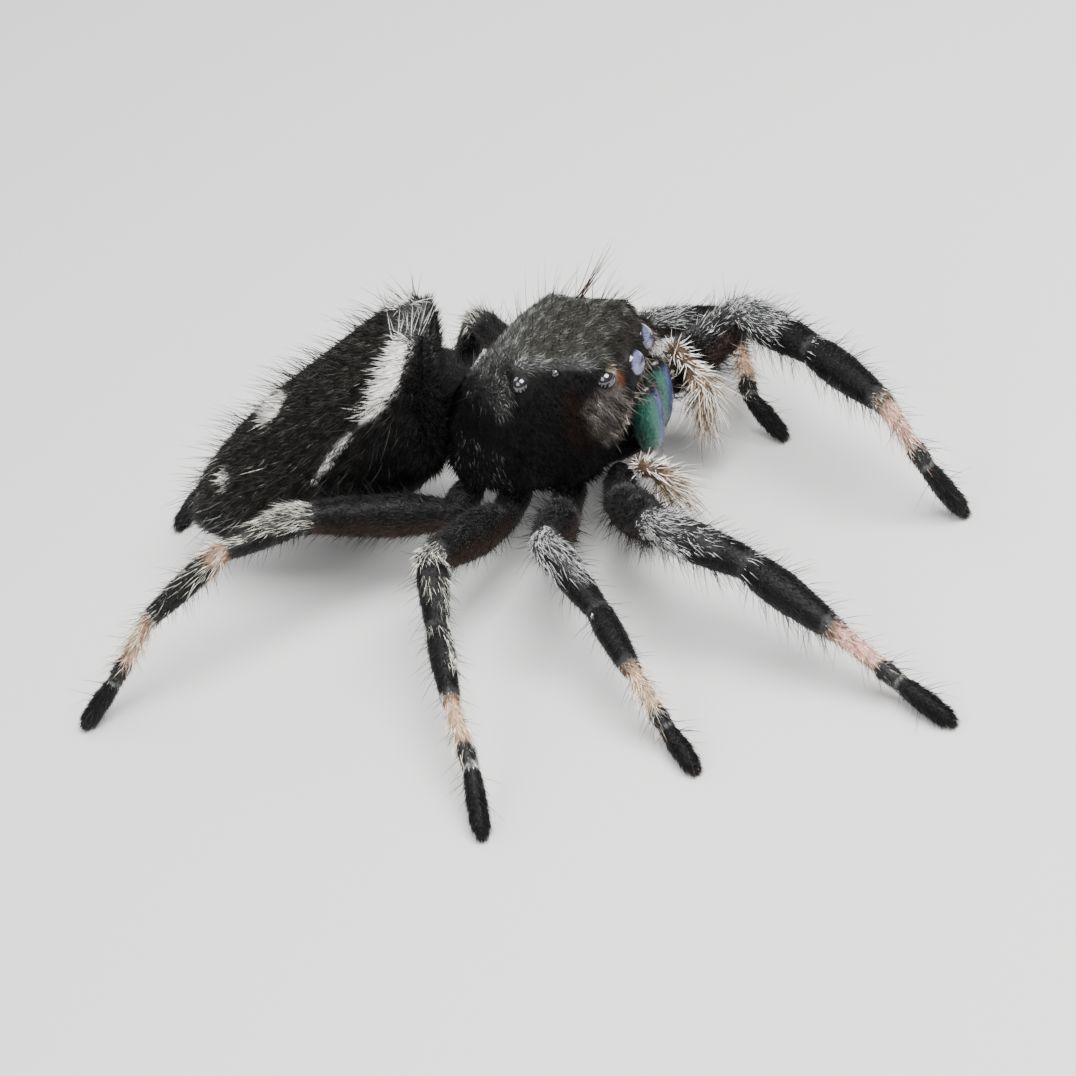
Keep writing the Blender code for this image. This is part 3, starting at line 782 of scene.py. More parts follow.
def spikes(roots, lie, length, width, lift, curl, tint, tip, steps):
    """Curved three-sided hairs that taper to a point. The line of a hair is
    root + length * (t * first + t * t / 2 * (last - first)), where first is the lie lifted from
    the skin by lift degrees and last the lie lifted by lift + curl. Half its width is
    width / 2 * (1 - t ** TAPER). Returns points, triangles, tints, the roots' places in the
    unwrap and what each of a hair's points adds to them."""
    count = len(roots.place)
    length = np.broadcast_to(length, count)[:, None, None]
    lift = lift + rng.normal(0, LIFT_SPREAD, count)
    last = lift + curl + rng.normal(0, CURL_SPREAD, count)
    first, last = (lie * cosine(rise)[:, None] + roots.normal * sine(rise)[:, None]
                   for rise in (lift, last))
    t = (np.arange(steps + 1) / steps)[None, :, None]
    start = (roots.place - roots.normal * SINK)[:, None]
    line = start + length * (t * first[:, None] + 0.5 * t * t * (last - first)[:, None])
    line[..., 2] = np.maximum(line[..., 2], FLOOR_ROOM)
    side = unit(np.cross(first, roots.normal))
    other = np.cross(side, first)
    ring = (cosine(RING_ANGLES)[:, None] * side[:, None] + sine(RING_ANGLES)[:, None] * other[:, None])
    half = 0.5 * width * (1 - t[:, :-1, :, None] ** TAPER)
    body = line[:, :-1, None] + half * ring[:, None]
    points = np.concatenate([body.reshape(count, steps * 3, 3), line[:, -1:]], axis=1)
    size = steps * 3 + 1
    j, k = np.meshgrid(np.arange(steps - 1), np.arange(3), indexing="ij")
    near, far, n = j * 3, j * 3 + 3, (k + 1) % 3
    walls = np.stack([near + k, near + n, far + n, near + k, far + n, far + k], -1).reshape(-1, 3)
    top = (steps - 1) * 3
    caps = ((top, top + 1, size - 1), (top + 1, top + 2, size - 1), (top + 2, top, size - 1), (0, 2, 1))
    faces = np.concatenate([walls, caps]).astype(np.int64)
    faces = (faces[None] + (np.arange(count) * size)[:, None, None]).reshape(-1, 3)
    share = np.append(np.repeat(t[0, :-1, 0], 3), 1.0)[None, :, None]
    tint, tip = (np.broadcast_to(colour, (count, 3))[:, None] for colour in (tint, tip))
    tint = tint * (1 - share) + tip * share
    across = np.append(np.tile((0.0, -0.5, 0.5), steps), 0.0)
    upward = np.append(np.repeat(t[0, :-1, 0] - 0.5, 3) + np.tile((0.2, 0, 0), steps), 0.5)
    patch = HAIR_PATCH * np.stack([across, upward], -1)
    return points.reshape(-1, 3), faces, tint.reshape(-1, 3), roots.uv, patch


def coat_piece(name, groups, finish, slot):
    """One mesh of many groups of hairs. The roots' unwrap is stretched over the whole square."""
    points, faces, tints, rooted, patches = zip(*groups)
    starts = np.cumsum([0] + [len(p) for p in points[:-1]])
    faces = np.concatenate([f + start for f, start in zip(faces, starts)])
    low = np.min([uv.min(0) for uv in rooted if len(uv)], axis=0)
    high = np.max([uv.max(0) for uv in rooted if len(uv)], axis=0)
    edge = 2 * HAIR_PATCH
    uvs = [((edge + (1 - 2 * edge) * (uv - low) / (high - low))[:, None] + patch[None]).reshape(-1, 2)
           for uv, patch in zip(rooted, patches)]
    mesh = new_mesh(name, np.concatenate(points), faces.reshape(-1), np.full(len(faces), 3),
                    np.clip(np.concatenate(tints), 0, 1), np.concatenate(uvs))
    add_piece(name, mesh, finish, slot)


# ---------------------------------------------------------------- finishes


def node(tree, kind, links=(), settings=(), **values):
    """A node with its settings, its inputs' values and its links, given as (input, output
    socket) pairs."""
    made = tree.nodes.new(kind)
    for key, value in values.items():
        setattr(made, key, value)
    for key, value in settings:
        made.inputs[key].default_value = value
    for socket, source in links:
        tree.links.new(source, made.inputs[socket])
    return made


def hair_colour_group():
    """Tint varied in brightness from place to place by fine noise."""
    group = bpy.data.node_groups.new("hair_colour", "ShaderNodeTree")
    for label, kind, way in (("Tint", "Color", "INPUT"), ("Fineness", "Float", "INPUT"),
                             ("Least", "Float", "INPUT"), ("Most", "Float", "INPUT"),
                             ("Colour", "Color", "OUTPUT"), ("Grain", "Float", "OUTPUT")):
        group.interface.new_socket(label, in_out=way, socket_type="NodeSocket" + kind)
    given, out = group.nodes.new("NodeGroupInput").outputs, group.nodes.new("NodeGroupOutput")
    place = node(group, "ShaderNodeTexCoord").outputs["Object"]
    fine = node(group, "ShaderNodeTexNoise", (("Vector", place), ("Scale", given["Fineness"])),
                (("Detail", 3.0),)).outputs["Fac"]
    spread = node(group, "ShaderNodeMapRange",
                  (("Value", fine), ("To Min", given["Least"]), ("To Max", given["Most"])),
                  (("From Min", 0.3), ("From Max", 0.7))).outputs["Result"]
    scaled = node(group, "ShaderNodeVectorMath", ((0, given["Tint"]), ("Scale", spread)),
                  operation="SCALE")
    group.links.new(scaled.outputs[0], out.inputs["Colour"])
    group.links.new(fine, out.inputs["Grain"])
    return group


HAIR_COLOUR = hair_colour_group()
RELIEF = 0.00004  # depth of the fine relief, in metres


def coat_finish(name, roughness, fineness, least, most, specular, coat=0.0, metallic=0.0, bump=0.0):
    """Hair, haired skin or horn: the piece's own tint, varied, with an optional fine relief."""
    made = bpy.data.materials.new(name)
    made.use_nodes = True
    tree = made.node_tree
    shader = tree.nodes["Principled BSDF"].inputs
    tint = node(tree, "ShaderNodeAttribute", attribute_name="tint")
    colour = node(tree, "ShaderNodeGroup", node_tree=HAIR_COLOUR)
    for key, value in (("Fineness", fineness), ("Least", least), ("Most", most)):
        colour.inputs[key].default_value = value
    tree.links.new(tint.outputs["Color"], colour.inputs["Tint"])
    tree.links.new(colour.outputs["Colour"], shader["Base Color"])
    for key, value in (("Roughness", roughness), ("Specular IOR Level", specular),
                       ("Metallic", metallic), ("Coat Weight", coat), ("Coat Roughness", 0.15)):
        shader[key].default_value = value
    if bump:
        relief = node(tree, "ShaderNodeBump", (("Height", colour.outputs["Grain"]),),
                      (("Strength", bump), ("Distance", RELIEF)))
        tree.links.new(relief.outputs["Normal"], shader["Normal"])
    return made


skin_finish = coat_finish("skin", 0.50, 11000.0, 0.6, 1.5, specular=0.14, bump=0.7)
hair_finish = coat_finish("hair", 0.42, 5000.0, 0.5, 1.7, specular=0.17)
pale_finish = coat_finish("pale_hair", 0.50, 5000.0, 0.8, 1.25, specular=0.35)
leg_finish = coat_finish("leg_hair", 0.30, 5000.0, 0.5, 1.7, specular=0.46)
eye_gloss = coat_finish("eye", 0.05, 2500.0, 0.9, 1.1, specular=0.7, coat=1.0)
jaw_finish = coat_finish("jaw", 0.33, 14000.0, 0.6, 1.45, specular=0.6, coat=0.5, metallic=0.6, bump=0.8)
horn = coat_finish("horn", 0.18, 6000.0, 0.8, 1.2, specular=0.5, coat=0.4)

# ---------------------------------------------------------------- the pieces

SIDES = (("right", -1), ("left", 1))
EACH_EYE = [(kind, side, sign) for kind in EYES for side, sign in SIDES]
FLESH = ["carapace", "sternum", "pedicel", "abdomen", "spinnerets"]
SEGMENTS = ("femur", "patella", "tibia", "metatarsus", "tarsus")
FLESH += [f"leg_{pair}_{side}_{segment}" for pair in HIPS for side, _ in SIDES for segment in SEGMENTS]
FLESH += [f"palp_{side}_{part}" for side, _ in SIDES for part in ("arm", "tip")]

abdomen = abdomen_surface(COAT["abdomen"])
carapace = carapace_surface(COAT["carapace"])
legs = {(side, pair): leg_surface(side, pair) for side, _ in SIDES for pair in HIPS}
palps = {side: station_surface(f"palp_{side}", PALP[side], sign, inset=COAT["palp"], columns=28,
                               rows=60, bulge=0.08) for side, sign in SIDES}
jaws = {side: station_surface("jaw", CHELICERA, sign, inset=0.01, columns=40, rows=52, bulge=0.10)
        for side, sign in SIDES}
sternum = station_surface("sternum", [(forward, 0.0, STERNUM_UP, half) for forward, half in STERNUM], 1,
                          inset=COAT["under"], columns=32, rows=50, bulge=0.05, squash=0.52)
pedicel = station_surface("pedicel", PEDICEL, 1, inset=0.02, columns=20, rows=20, bulge=0.05)


def line_from(start, *pulls):
    """A line that leaves a place by a size along each direction, given as (sizes, direction)."""
    return start + sum(np.asarray(size)[:, None] * way for size, way in pulls)


def spinneret_surfaces():
    """The short tube behind the abdomen, with a pair of cones at its end."""
    start, back, left, up = abdomen_frame()
    tip = start + back * ABDOMEN_LENGTH
    s = np.linspace(0, 1, 16)
    path = line_from(tip, (-0.25 + 0.45 * s, back), (-0.20 * s, up))
    yield tube_surface("spinnerets", path, s, 0.20 - 0.04 * s, 0.19 - 0.04 * s, columns=20, bulge=0.04)
    half = 0.085 * (1 - 0.6 * s**2)
    for sign in (-1, 1):
        path = line_from(tip, (0.05 + 0.24 * s, back), (sign * (0.06 + 0.03 * s), left),
                         (-0.10 - 0.16 * s, up))
        yield tube_surface("spinnerets", path, s, half, half, columns=14, bulge=0.02)


def eye_middle(kind, sign):
    """An eye's middle, its radius and the way it faces, on the side of sign."""
    forward, sideways, up, radius = EYES[kind]
    azimuth, rise = EYE_FACING[kind]
    return at(forward, sign * sideways, up), radius, heading(sign * azimuth, rise)


# How much wider than its eye each orbit is, and how far back it is set, in radii of the eye.
ORBITS = {"front_middle": (1.15, 0.20), "front_side": (1.16, 0.30), "middle": (1.30, 0.5),
          "rear": (1.28, 0.42)}


def orbit_surfaces():
    """Mounds of skin that the eyes sit in."""
    for kind, _, sign in EACH_EYE:
        middle, radius, facing = eye_middle(kind, sign)
        wider, back = ORBITS[kind]
        yield ball_surface("carapace_orbit", middle - facing * radius * back, radius * wider, facing)


skin_parts = [abdomen, carapace, sternum, pedicel, *legs.values(), *palps.values(),
              *spinneret_surfaces(), *orbit_surfaces()]
add_piece("skin", fuse("skin", skin_parts), skin_finish, "hair_black", FLESH)

# The colours of each kind of eye's lens: near black, and on the front middle eyes a lavender that is a
# painted reflection.
LENS_TINT_AND_REFLECTION = {kind: np.array((0.115, 0.120, 0.235) if kind == "front_middle" else (0.010, 0.010, 0.013))
             for kind in EYES}


def eye_tint(ball, lens):
    """The lens's colour within about 48 degrees of where the ball faces, darker in its very
    middle, and the rim's colour beyond. On the front middle eyes the lavender is a painted
    reflection."""
    share = between(ball.along, 0.705, 0.765) * (1 - 0.72 * between(ball.along, 0.82, 0.95))
    return layered(BLACK * 0.5, (lens, share[:, None] + 0 * ball.turns))


for kind, side, sign in EACH_EYE:
    ball = ball_surface(f"eye_{kind}_{side}", *eye_middle(kind, sign), columns=40, rows=40)
    mesh = mesh_of(ball.name, [ball], lambda ball: eye_tint(ball, LENS_TINT_AND_REFLECTION[kind]))
    add_piece(f"eyeball_{kind}_{side}", mesh, eye_gloss, "eye_gloss", [ball.name])

JAW_GREEN = np.array((0.013, 0.105, 0.072))
# a painted sheen of the jaws' own iridescence, on the side that faces ahead
JAW_BLUE_SHEEN = np.array((0.016, 0.040, 0.17))


def jaw_tint(jaw):
    """Green, with blue on the side that faces ahead as a painted sheen, and black at both ends."""
    down = np.repeat(jaw.along[:, None], len(jaw.turns), 1)
    ahead = -unit(jaw.points - jaw.points.mean(1, keepdims=True))[..., 1]
    ends = np.maximum(1 - between(down, 0.02, 0.14), between(down, 0.80, 0.93))
    return layered(JAW_GREEN, (JAW_BLUE_SHEEN, between(ahead, 0.70, 0.97)), (BLACK * 1.5, ends))


for side, jaw in jaws.items():
    mesh = mesh_of(f"jaw_{side}", [jaw], jaw_tint)
    add_piece(f"jaw_{side}", mesh, jaw_finish, "chelicera_green", [f"chelicera_{side}"])

# The fangs, folded inwards under the jaws, as stations of (forward, sideways, up, half thickness).
FANG = ((2.22, 0.38, -1.20, 0.10), (2.16, 0.30, -1.35, 0.085), (2.06, 0.18, -1.43, 0.06),
        (1.96, 0.10, -1.44, 0.025))
CLAW_LENGTH, CLAW_THICKNESS, CLAW_FLOOR = 0.15, 0.022, 0.04


def claw_surfaces():
    """Two small hooks at the end of each foot, curving down ahead of it."""
    s = np.linspace(0, 1, 10)
    for leg in legs.values():
        middle = leg.points.mean(1)
        foot = middle[-1]
        ahead = unit((foot - middle[-8]) * (1, 1, 0))
        across = np.cross(ahead, UP)
        for sign in (-1, 1):
            path = line_from(foot, (CLAW_LENGTH * s - 0.05, ahead), (sign * (0.035 + 0.03 * s), across))
            path[:, 2] = np.maximum(foot[2] + 0.05 * np.sin(math.pi * s) - 0.05 * s**2, CLAW_FLOOR)
            half = CLAW_THICKNESS * (1 - 0.85 * s)
            yield tube_surface("claw", path, s, half, half, columns=10, bulge=0.004)


fangs = {f"fang_{side}": [station_surface("fang", FANG, sign, inset=0.0, columns=18, rows=30, bulge=0.02)]
         for side, sign in SIDES}
for name, surfaces in {**fangs, "claws": claw_surfaces()}.items():
    add_piece(name, mesh_of(name, surfaces, lambda horned: RUST * 0.35), horn, "eye_gloss")

# ---------------------------------------------------------------- the coat

DOWN = -UP
AHEAD = np.array((0.0, -1.0, 0.0))

# Each kind of hair: how many grow on a square millimetre, how many degrees they scatter about
# their lie, their length and width, how many degrees they lift from the skin and curl from root
# to tip, how many rings of points they have and how much their length varies.
Hair = namedtuple("Hair", "density scatter length width lift curl rings vary", defaults=(2, 0.2))
HAIR = {
    "abdomen_velvet": Hair(1480, 13, 0.25, 0.021, 18, 6, 1, 0.35),
    # painted highlights on the abdomen's velvet, as lighter hairs
    "abdomen_painted_highlight": Hair(210, 10, 0.27, 0.020, 19, 4, 2, 0.3),
    "abdomen_patch": Hair(430, 12, 0.30, 0.042, 20, 2, 2, 0.35),
    "abdomen_line": Hair(1800, 8, 0.17, 0.028, 27, -6),
    "abdomen_stray": Hair(0, 1, 0.0, 0.034, 24, -10, 5, 0),
    "abdomen_crest": Hair(95, 12, 0.78, 0.024, 20, -12, 5, 0.25),
    "abdomen_rear": Hair(13, 25, 0.50, 0.018, 42, -22, 4, 0.3),
    "abdomen_standing": Hair(24, 28, 0.72, 0.019, 68, -24, 4, 0.35),
    "abdomen_under": Hair(5, 22, 0.40, 0.014, 45, -20, 3),
    "abdomen_ruff": Hair(420, 14, 0.18, 0.021, 18, 8, 2, 0.3),
    "abdomen_tail": Hair(500, 20, 0.34, 0.020, 30, -14, 2, 0.3),
    "head_velvet": Hair(1150, 15, 0.19, 0.022, 16, 5, 1, 0.3),
    "head_scale": Hair(170, 13, 0.23, 0.040, 13, 3, 2, 0.25),
    "head_standing": Hair(23, 35, 0.70, 0.014, 64, -16, 5, 0.4),
    "head_tuft": Hair(0, 5, 1.22, 0.024, 63, 2, 7),
    "head_front": Hair(34, 28, 0.55, 0.012, 58, -14, 5, 0.3),
    "head_cheek": Hair(170, 15, 0.34, 0.015, 16, 6, 3, 0.3),
    "head_low_front": Hair(230, 14, 0.40, 0.018, 28, -6, 3, 0.3),
    "head_rear_rim": Hair(300, 14, 0.38, 0.020, 40, 0, 2, 0.3),
    "under": Hair(420, 18, 0.20, 0.022, 24, 4, 1),
    "leg_velvet": Hair(880, 13, 0.15, 0.021, 17, 4, 1, 0.3),
    "leg_fringe": Hair(76, 18, 0.38, 0.0125, 58, -14, 3, 0.4),
    "leg_fringe_first": Hair(130, 18, 0.56, 0.0125, 58, -14, 3, 0.4),
    "leg_standing": Hair(30, 24, 0.50, 0.013, 58, -18, 4, 0.35),
    "leg_standing_first": Hair(44, 24, 0.50, 0.013, 58, -18, 4, 0.35),
    "leg_white": Hair(430, 9, 0.33, 0.018, 15, -3, 2, 0.35),
    "leg_shaggy": Hair(270, 21, 0.35, 0.0165, 34, -8, 3, 0.4),
    "leg_shaggy_first": Hair(210, 21, 0.25, 0.0165, 34, -8, 3, 0.4),
    "leg_foot": Hair(560, 14, 0.19, 0.020, 26, -4, 1),
    "palp_velvet": Hair(420, 16, 0.17, 0.024, 24, 5, 1, 0.3),
    "palp_stubby": Hair(128, 32, 0.28, 0.030, 46, -4, 3, 0.4),
    "palp_strand": Hair(185, 17, 0.72, 0.021, 25, -12, 5, 0.4),
    "palp_curl": Hair(36, 30, 0.85, 0.013, 40, -45, 5, 0.3),
    "jaw_fine": Hair(46, 16, 0.26, 0.012, 20, 0, 3, 0.3),
    "jaw_coarse": Hair(330, 20, 0.24, 0.016, 26, 0, 2, 0.3),
}


def speckle(roots, dark, light, power=2.5):
    """A colour between dark and light for each root, mostly near dark."""
    return layered(dark, (light, rng.random(len(roots.place)) ** power))


def chosen(share):
    """1 for hairs picked at random, as often as their share says, and 0 for the others."""
    return (rng.random(len(share)) < share).astype(float)


def made_for(roots, value):
    """A value, or what its function gives for the roots."""
    return value(roots) if callable(value) else value


def grow(kind, roots, tint, towards=None, tip=1.0, longer=0.0, raised=0.0, wave=1.0):
    """Hairs of one kind on the given roots, lying along the surface or towards a direction. tint
    is a colour for each hair, or what speckle() makes one from, and tip how much brighter the
    hairs' tips are. Tint, direction, extra length and extra lift may be functions of the roots."""
    hair = HAIR[kind]
    tint = made_for(roots, tint)
    towards = roots.lie if towards is None else made_for(roots, towards)
    lie = lie_towards(roots, towards, hair.scatter, wave)
    if isinstance(tint, tuple):
        tint = speckle(roots, *tint)
    spread = 1 + hair.vary * rng.standard_normal(len(roots.place))
    length = (hair.length + made_for(roots, longer)) * spread.clip(0.5, 1.6)
    return spikes(roots, lie, length, hair.width, hair.lift + made_for(roots, raised), hair.curl,
                  tint, tint * tip, hair.rings)


def hairs(kind, surface, share, tint, towards=None, keep=None, patch=WHOLE, **more):
    """Hairs of one kind on a surface where share says, on the roots that keep() leaves."""
    roots = pick_roots(surface, HAIR[kind].density, patch, share)
    if keep:
        roots = take(roots, keep(roots))
    return grow(kind, roots, tint, towards, **more)


def where(**limits):
    """A share for pick_roots(): the product of one factor for each limit. A limit of two numbers
    is a step from the first to the second, and one of three is a band. They are on the place
    along the surface, the sine of the turn (over), how far the turn is from the top (aside), the
    turn itself, or the place forward and up."""
    def share(points, along, turns):
        forward, up = forward_up(points)
        values = {"along": along, "over": sine(turns), "aside": np.abs(turns - 90), "turns": turns,
                  "forward": forward, "up": up}
        factors = [(between if len(limit) == 2 else band)(values[name], *limit)
                   for name, limit in limits.items()]
        return np.prod(factors, axis=0)
    return share


def from_eyes(points):
    """Distances of points from the rim of each eye, in the order of EACH_EYE."""
    eyes = (eye_middle(kind, sign) for kind, _, sign in EACH_EYE)
    return np.array([np.linalg.norm(points - middle, axis=-1) - radius for middle, radius, _ in eyes])


def clear_of_eyes(room):
    """Tells which roots stand clear of the eyes, the front ones by room and the others by a
    little."""
    rooms = np.array([room if kind.startswith("front") else 0.02 for kind, _, _ in EACH_EYE])
    return lambda roots: np.all(from_eyes(roots.place) > rooms[:, None], axis=0)


def abdomen_velvet(side_turn):
    """Short velvet swept back, on one side of the abdomen (turns about 0 for the left, 180 for
    the right)."""
    def half(points, along, turns):
        return (cosine(turns - side_turn) > 0) * (0.62 + 0.38 * between(sine(turns), -0.5, 0.1))

    def off_marks(roots):
        return np.all([abdomen_white(roots.place - reach * roots.lie) < 0.6 for reach in (0.08, 0)], axis=0)

    def tint(roots):
        # Hairs whose roots face up get lighter brown speckles: a painted highlight on the top.
        above = between(roots.normal[:, 2], -0.2, 0.85)
        # A grey share along the top of the front end: partly pale hair, partly a painted highlight.
        ridge = band(roots.along, 0.0, 0.08, 0.02) * band(roots.turn, 76, 104, 4)
        velvet = layered(speckle(roots, BLACK * 0.5, BROWN_BLACK * 0.7),
                         (speckle(roots, BLACK, BROWN_BLACK * 6, 4), above))
        return layered(velvet * locks(roots.place),
                       (speckle(roots, GREY * 0.1, GREY * 0.9, 1.5), 0.7 * ridge))

    yield hairs("abdomen_velvet", abdomen, half, tint, lambda roots: roots.lie + 0.25 * DOWN,
                off_marks, tip=1.6)


def abdomen_glints():
    """Painted highlights: lighter brown-grey hairs scattered over the velvet's upper half, more of
    them at the rear and on its brighter locks."""
    def upper(points, along, turns):
        low = 0.55 - 0.55 * between(along, 0.28, 0.45)
        return between(sine(turns) - low, 0.0, 0.6) * (0.45 + 0.55 * between(along, 0.3, 0.9))

    yield hairs("abdomen_painted_highlight", abdomen, upper,
                lambda roots: speckle(roots, OLIVE * 0.9, GREY * (2.1, 2.0, 1.8), 2.2),
                lambda roots: roots.lie + 0.2 * DOWN,
                lambda roots: (abdomen_white(roots.place) < 0.3) & (lock_waver(roots.place) > -3))


def abdomen_marks_coat():
    """White hairs on the marks, single ones beside them, and the pale crest at the front."""
    line = where(along=(0.21, 0.42, 0.01), aside=(39.9, 40))
    yield hairs("abdomen_patch", abdomen, lambda *cells: abdomen_white(cells[0]) * (1 - line(*cells)),
                lambda roots: layered(speckle(roots, WHITE, CREAM * 0.8, 4), (WHITE, 0.4)) * 0.85,
                -AHEAD, tip=1 / 0.85, wave=0.3)
    yield hairs("abdomen_line", abdomen, lambda *cells: abdomen_white(cells[0]) * line(*cells),
                WHITE, -AHEAD + 2.2 * DOWN, wave=0.0)
    place, turn, long = np.array(STRAY_HAIRS).T
    for mirrored in (turn, 180 - turn):
        roots = root_at(abdomen, place, mirrored)
        yield grow("abdomen_stray", roots, WHITE * 0.7, -AHEAD, longer=long)

    def outwards(roots):
        return np.where(roots.turn[:, None] > 90, -1, 1) * roots.across - 0.15 * roots.lie

    yield hairs("abdomen_crest", abdomen, where(along=(0.01, 0.085, 0.01), aside=(11, 19, 2)),
                (GREY * 1.5, WHITE * 0.9, 1), outwards)
    yield hairs("abdomen_rear", abdomen, where(along=(0.78, 0.97, 0.04), over=(-0.2, 0.4)),
                (GREY * 0.3, GREY * 2.4, 1.5))


def abdomen_long_coat():
    """Fine dark hairs that stand over the velvet, and a dark ruff round the blunt front end."""
    def low(roots):
        return 1 - between(roots.normal[:, 2], 0.0, 0.5)

    yield hairs("abdomen_standing", abdomen, where(over=(-0.3, 0.5)),
                (BLACK, BROWN_BLACK * 2.6, 1.5), keep=lambda roots: roots.along > 0.03)
    yield hairs("abdomen_under", abdomen, where(over=(0.5, -0.3)), BROWN_BLACK)
    yield hairs("abdomen_ruff", abdomen, where(along=(0.06, 0.03)), (BLACK * 0.7, BROWN_BLACK),
                lambda roots: roots.place - at(*ABDOMEN_START) + 0.001,
                longer=lambda roots: 0.16 * low(roots), raised=lambda roots: 16 * low(roots))
    yield hairs("abdomen_tail", abdomen, where(along=(0.93, 0.99)), (BLACK, GREY * 0.6, 3))


def carapace_lie(roots):
    """Forward on top, and downwards too on the sides and cheeks."""
    marks = carapace_marks(roots.place)
    sides = 1 - np.clip(marks["top"] + marks["slope"] + marks["brow"], 0, 1)[:, None]
    sides = np.maximum(sides, marks["cheek"][:, None])
    return AHEAD * (1 - 0.45 * sides) + 0.9 * sides * DOWN


def carapace_tints(roots):
    """The velvet's colours on the head, hair by hair, dark round the eyes."""
    marks = carapace_marks(roots.place)
    slope = np.clip(marks["slope"] + marks["behind"], 0, 1)
    tint = speckle(roots, BLACK * 0.4, BROWN_BLACK * 0.55)
    for share, *colours in (
            (marks["top"], OLIVE * 0.36, GREY * 0.50, 2.2),
            (slope * 0.55, OLIVE * 0.3, GREY * 0.9, 1.8),
            (marks["red"] * 0.8, BLACK, RUST * 0.22, 1.5),
            (marks["cheek"], GREY * (0.36, 0.29, 0.28), GREY * (0.95, 0.84, 0.80), 1.3),
            (marks["brow"], GREY * 0.22, GREY, 1.6),
            (marks["cream"], TAN, CREAM, 1),
            (marks["rust"], RUST * 0.8, RUST * 1.8, 1)):
        tint = layered(tint, (speckle(roots, *colours), share))
    near = from_eyes(roots.place).min(axis=0)
    rim = 0.7 * (1 - between(near, 0.04, 0.11)) * (1 - marks["cream"])
    return layered(tint * locks(roots.place), (BLACK, rim))


UPPER = (183, 182)  # a step of the turn, to the carapace's columns that don't run under it


def carapace_coat():
    """Flat hairs all over the head: olive on top, black on the sides, grey on brows and cheeks."""
    def longer(roots):
        return 0.10 * carapace_marks(roots.place)["cheek"] - 0.04 * between(roots.along, 2.2, 2.6)

    yield hairs("head_velvet", carapace, where(turns=UPPER), carapace_tints, carapace_lie,
                clear_of_eyes(0.06), tip=1.4, longer=longer)


# How much each mark of the head adds to the share of its wider hairs.
SCALE_SHARES = {"top": 0.14, "slope": 0.38, "low": 0.55, "behind": 1.2, "brow": 1.1, "cheek": 0.7}


def head_scales():
    """Wider, paler, flatter hairs scattered among the others on the marks."""
    def marked(points, along, turns):
        marks = carapace_marks(points)
        share = sum(weight * marks[name] for name, weight in SCALE_SHARES.items())
        return np.clip(share, 0, 1.2) * where(turns=UPPER)(points, along, turns)

    def tint(roots):
        marks = carapace_marks(roots.place)
        bright = np.clip(0.30 + marks["brow"] * 0.35 + marks["behind"] * 0.3, 0, 0.9)
        bright = (bright * (1 - 0.25 * marks["low"]))[:, None] * locks(roots.place) ** 0.6
        return speckle(roots, GREY * 0.4, GREY * 2.0, 1.5) * bright

    yield hairs("head_scale", carapace, marked, tint, carapace_lie, clear_of_eyes(0.10), tip=1.2)


# The tuft beside the eyes: where it is along the head and round it, how many hairs, the way.
TUFT_FORWARD, TUFT_TURN, TUFT_COUNT = 1.20, 64, 11
TUFT_WAY = np.array((0.5, -0.565, 0.0))


def head_long_coat():
    """Fine standing hairs over the head, the tuft beside the eyes and soft hairs on the cheeks."""
    def top(points, along, turns):
        marks = carapace_marks(points)
        return np.clip(marks["top"] + 0.8 * marks["slope"] + 0.5 * marks["brow"], 0, 1)

    yield hairs("head_standing", carapace, top, (BLACK, BROWN_BLACK * 2, 1), AHEAD,
                clear_of_eyes(0.05))
    forward = TUFT_FORWARD + rng.normal(0, 0.035, TUFT_COUNT)
    turn = TUFT_TURN + rng.normal(0, 1.6, TUFT_COUNT)
    yield grow("head_tuft", root_at(carapace, forward, turn), (BLACK, RUST * 0.8, 0.8), TUFT_WAY)
    for kind, share, tint, towards, room in (
            ("head_front", where(forward=(2.0, 2.5, 0.1), up=(1.45, 1.6)),
             (BLACK, RUST * 0.35, 1.5), AHEAD, 0.04),
            ("head_cheek", lambda points, along, turns: side_mark(points, CHEEK, 0.10),
             (GREY * (0.35, 0.29, 0.28), GREY * (1.35, 1.18, 1.12), 1.7), DOWN + 0.55 * AHEAD, 0.10),
            ("head_low_front", where(forward=(2.2, 2.75, 0.1), up=(1.0, 0.75)),
             (TAN * 0.4, GREY * (1.6, 1.5, 1.4), 1), DOWN + 0.5 * AHEAD, 0.02)):
        yield hairs(kind, carapace, share, tint, towards, clear_of_eyes(room))
    yield hairs("head_rear_rim", carapace, where(along=(-1.9, -2.2), turns=UPPER),
                (BLACK * 0.7, BROWN_BLACK), lambda roots: roots.place - at(0.0, 0.0, 0.2))


def under_coat():
    """Short hairs under the body and on the stalk between its two parts."""
    for surface, patch in zip((sternum, pedicel), strips(2)):
        yield hairs("under", surface, None, (BLACK, BROWN_BLACK * 1.5), lambda roots: -roots.lie,
                    patch=patch)


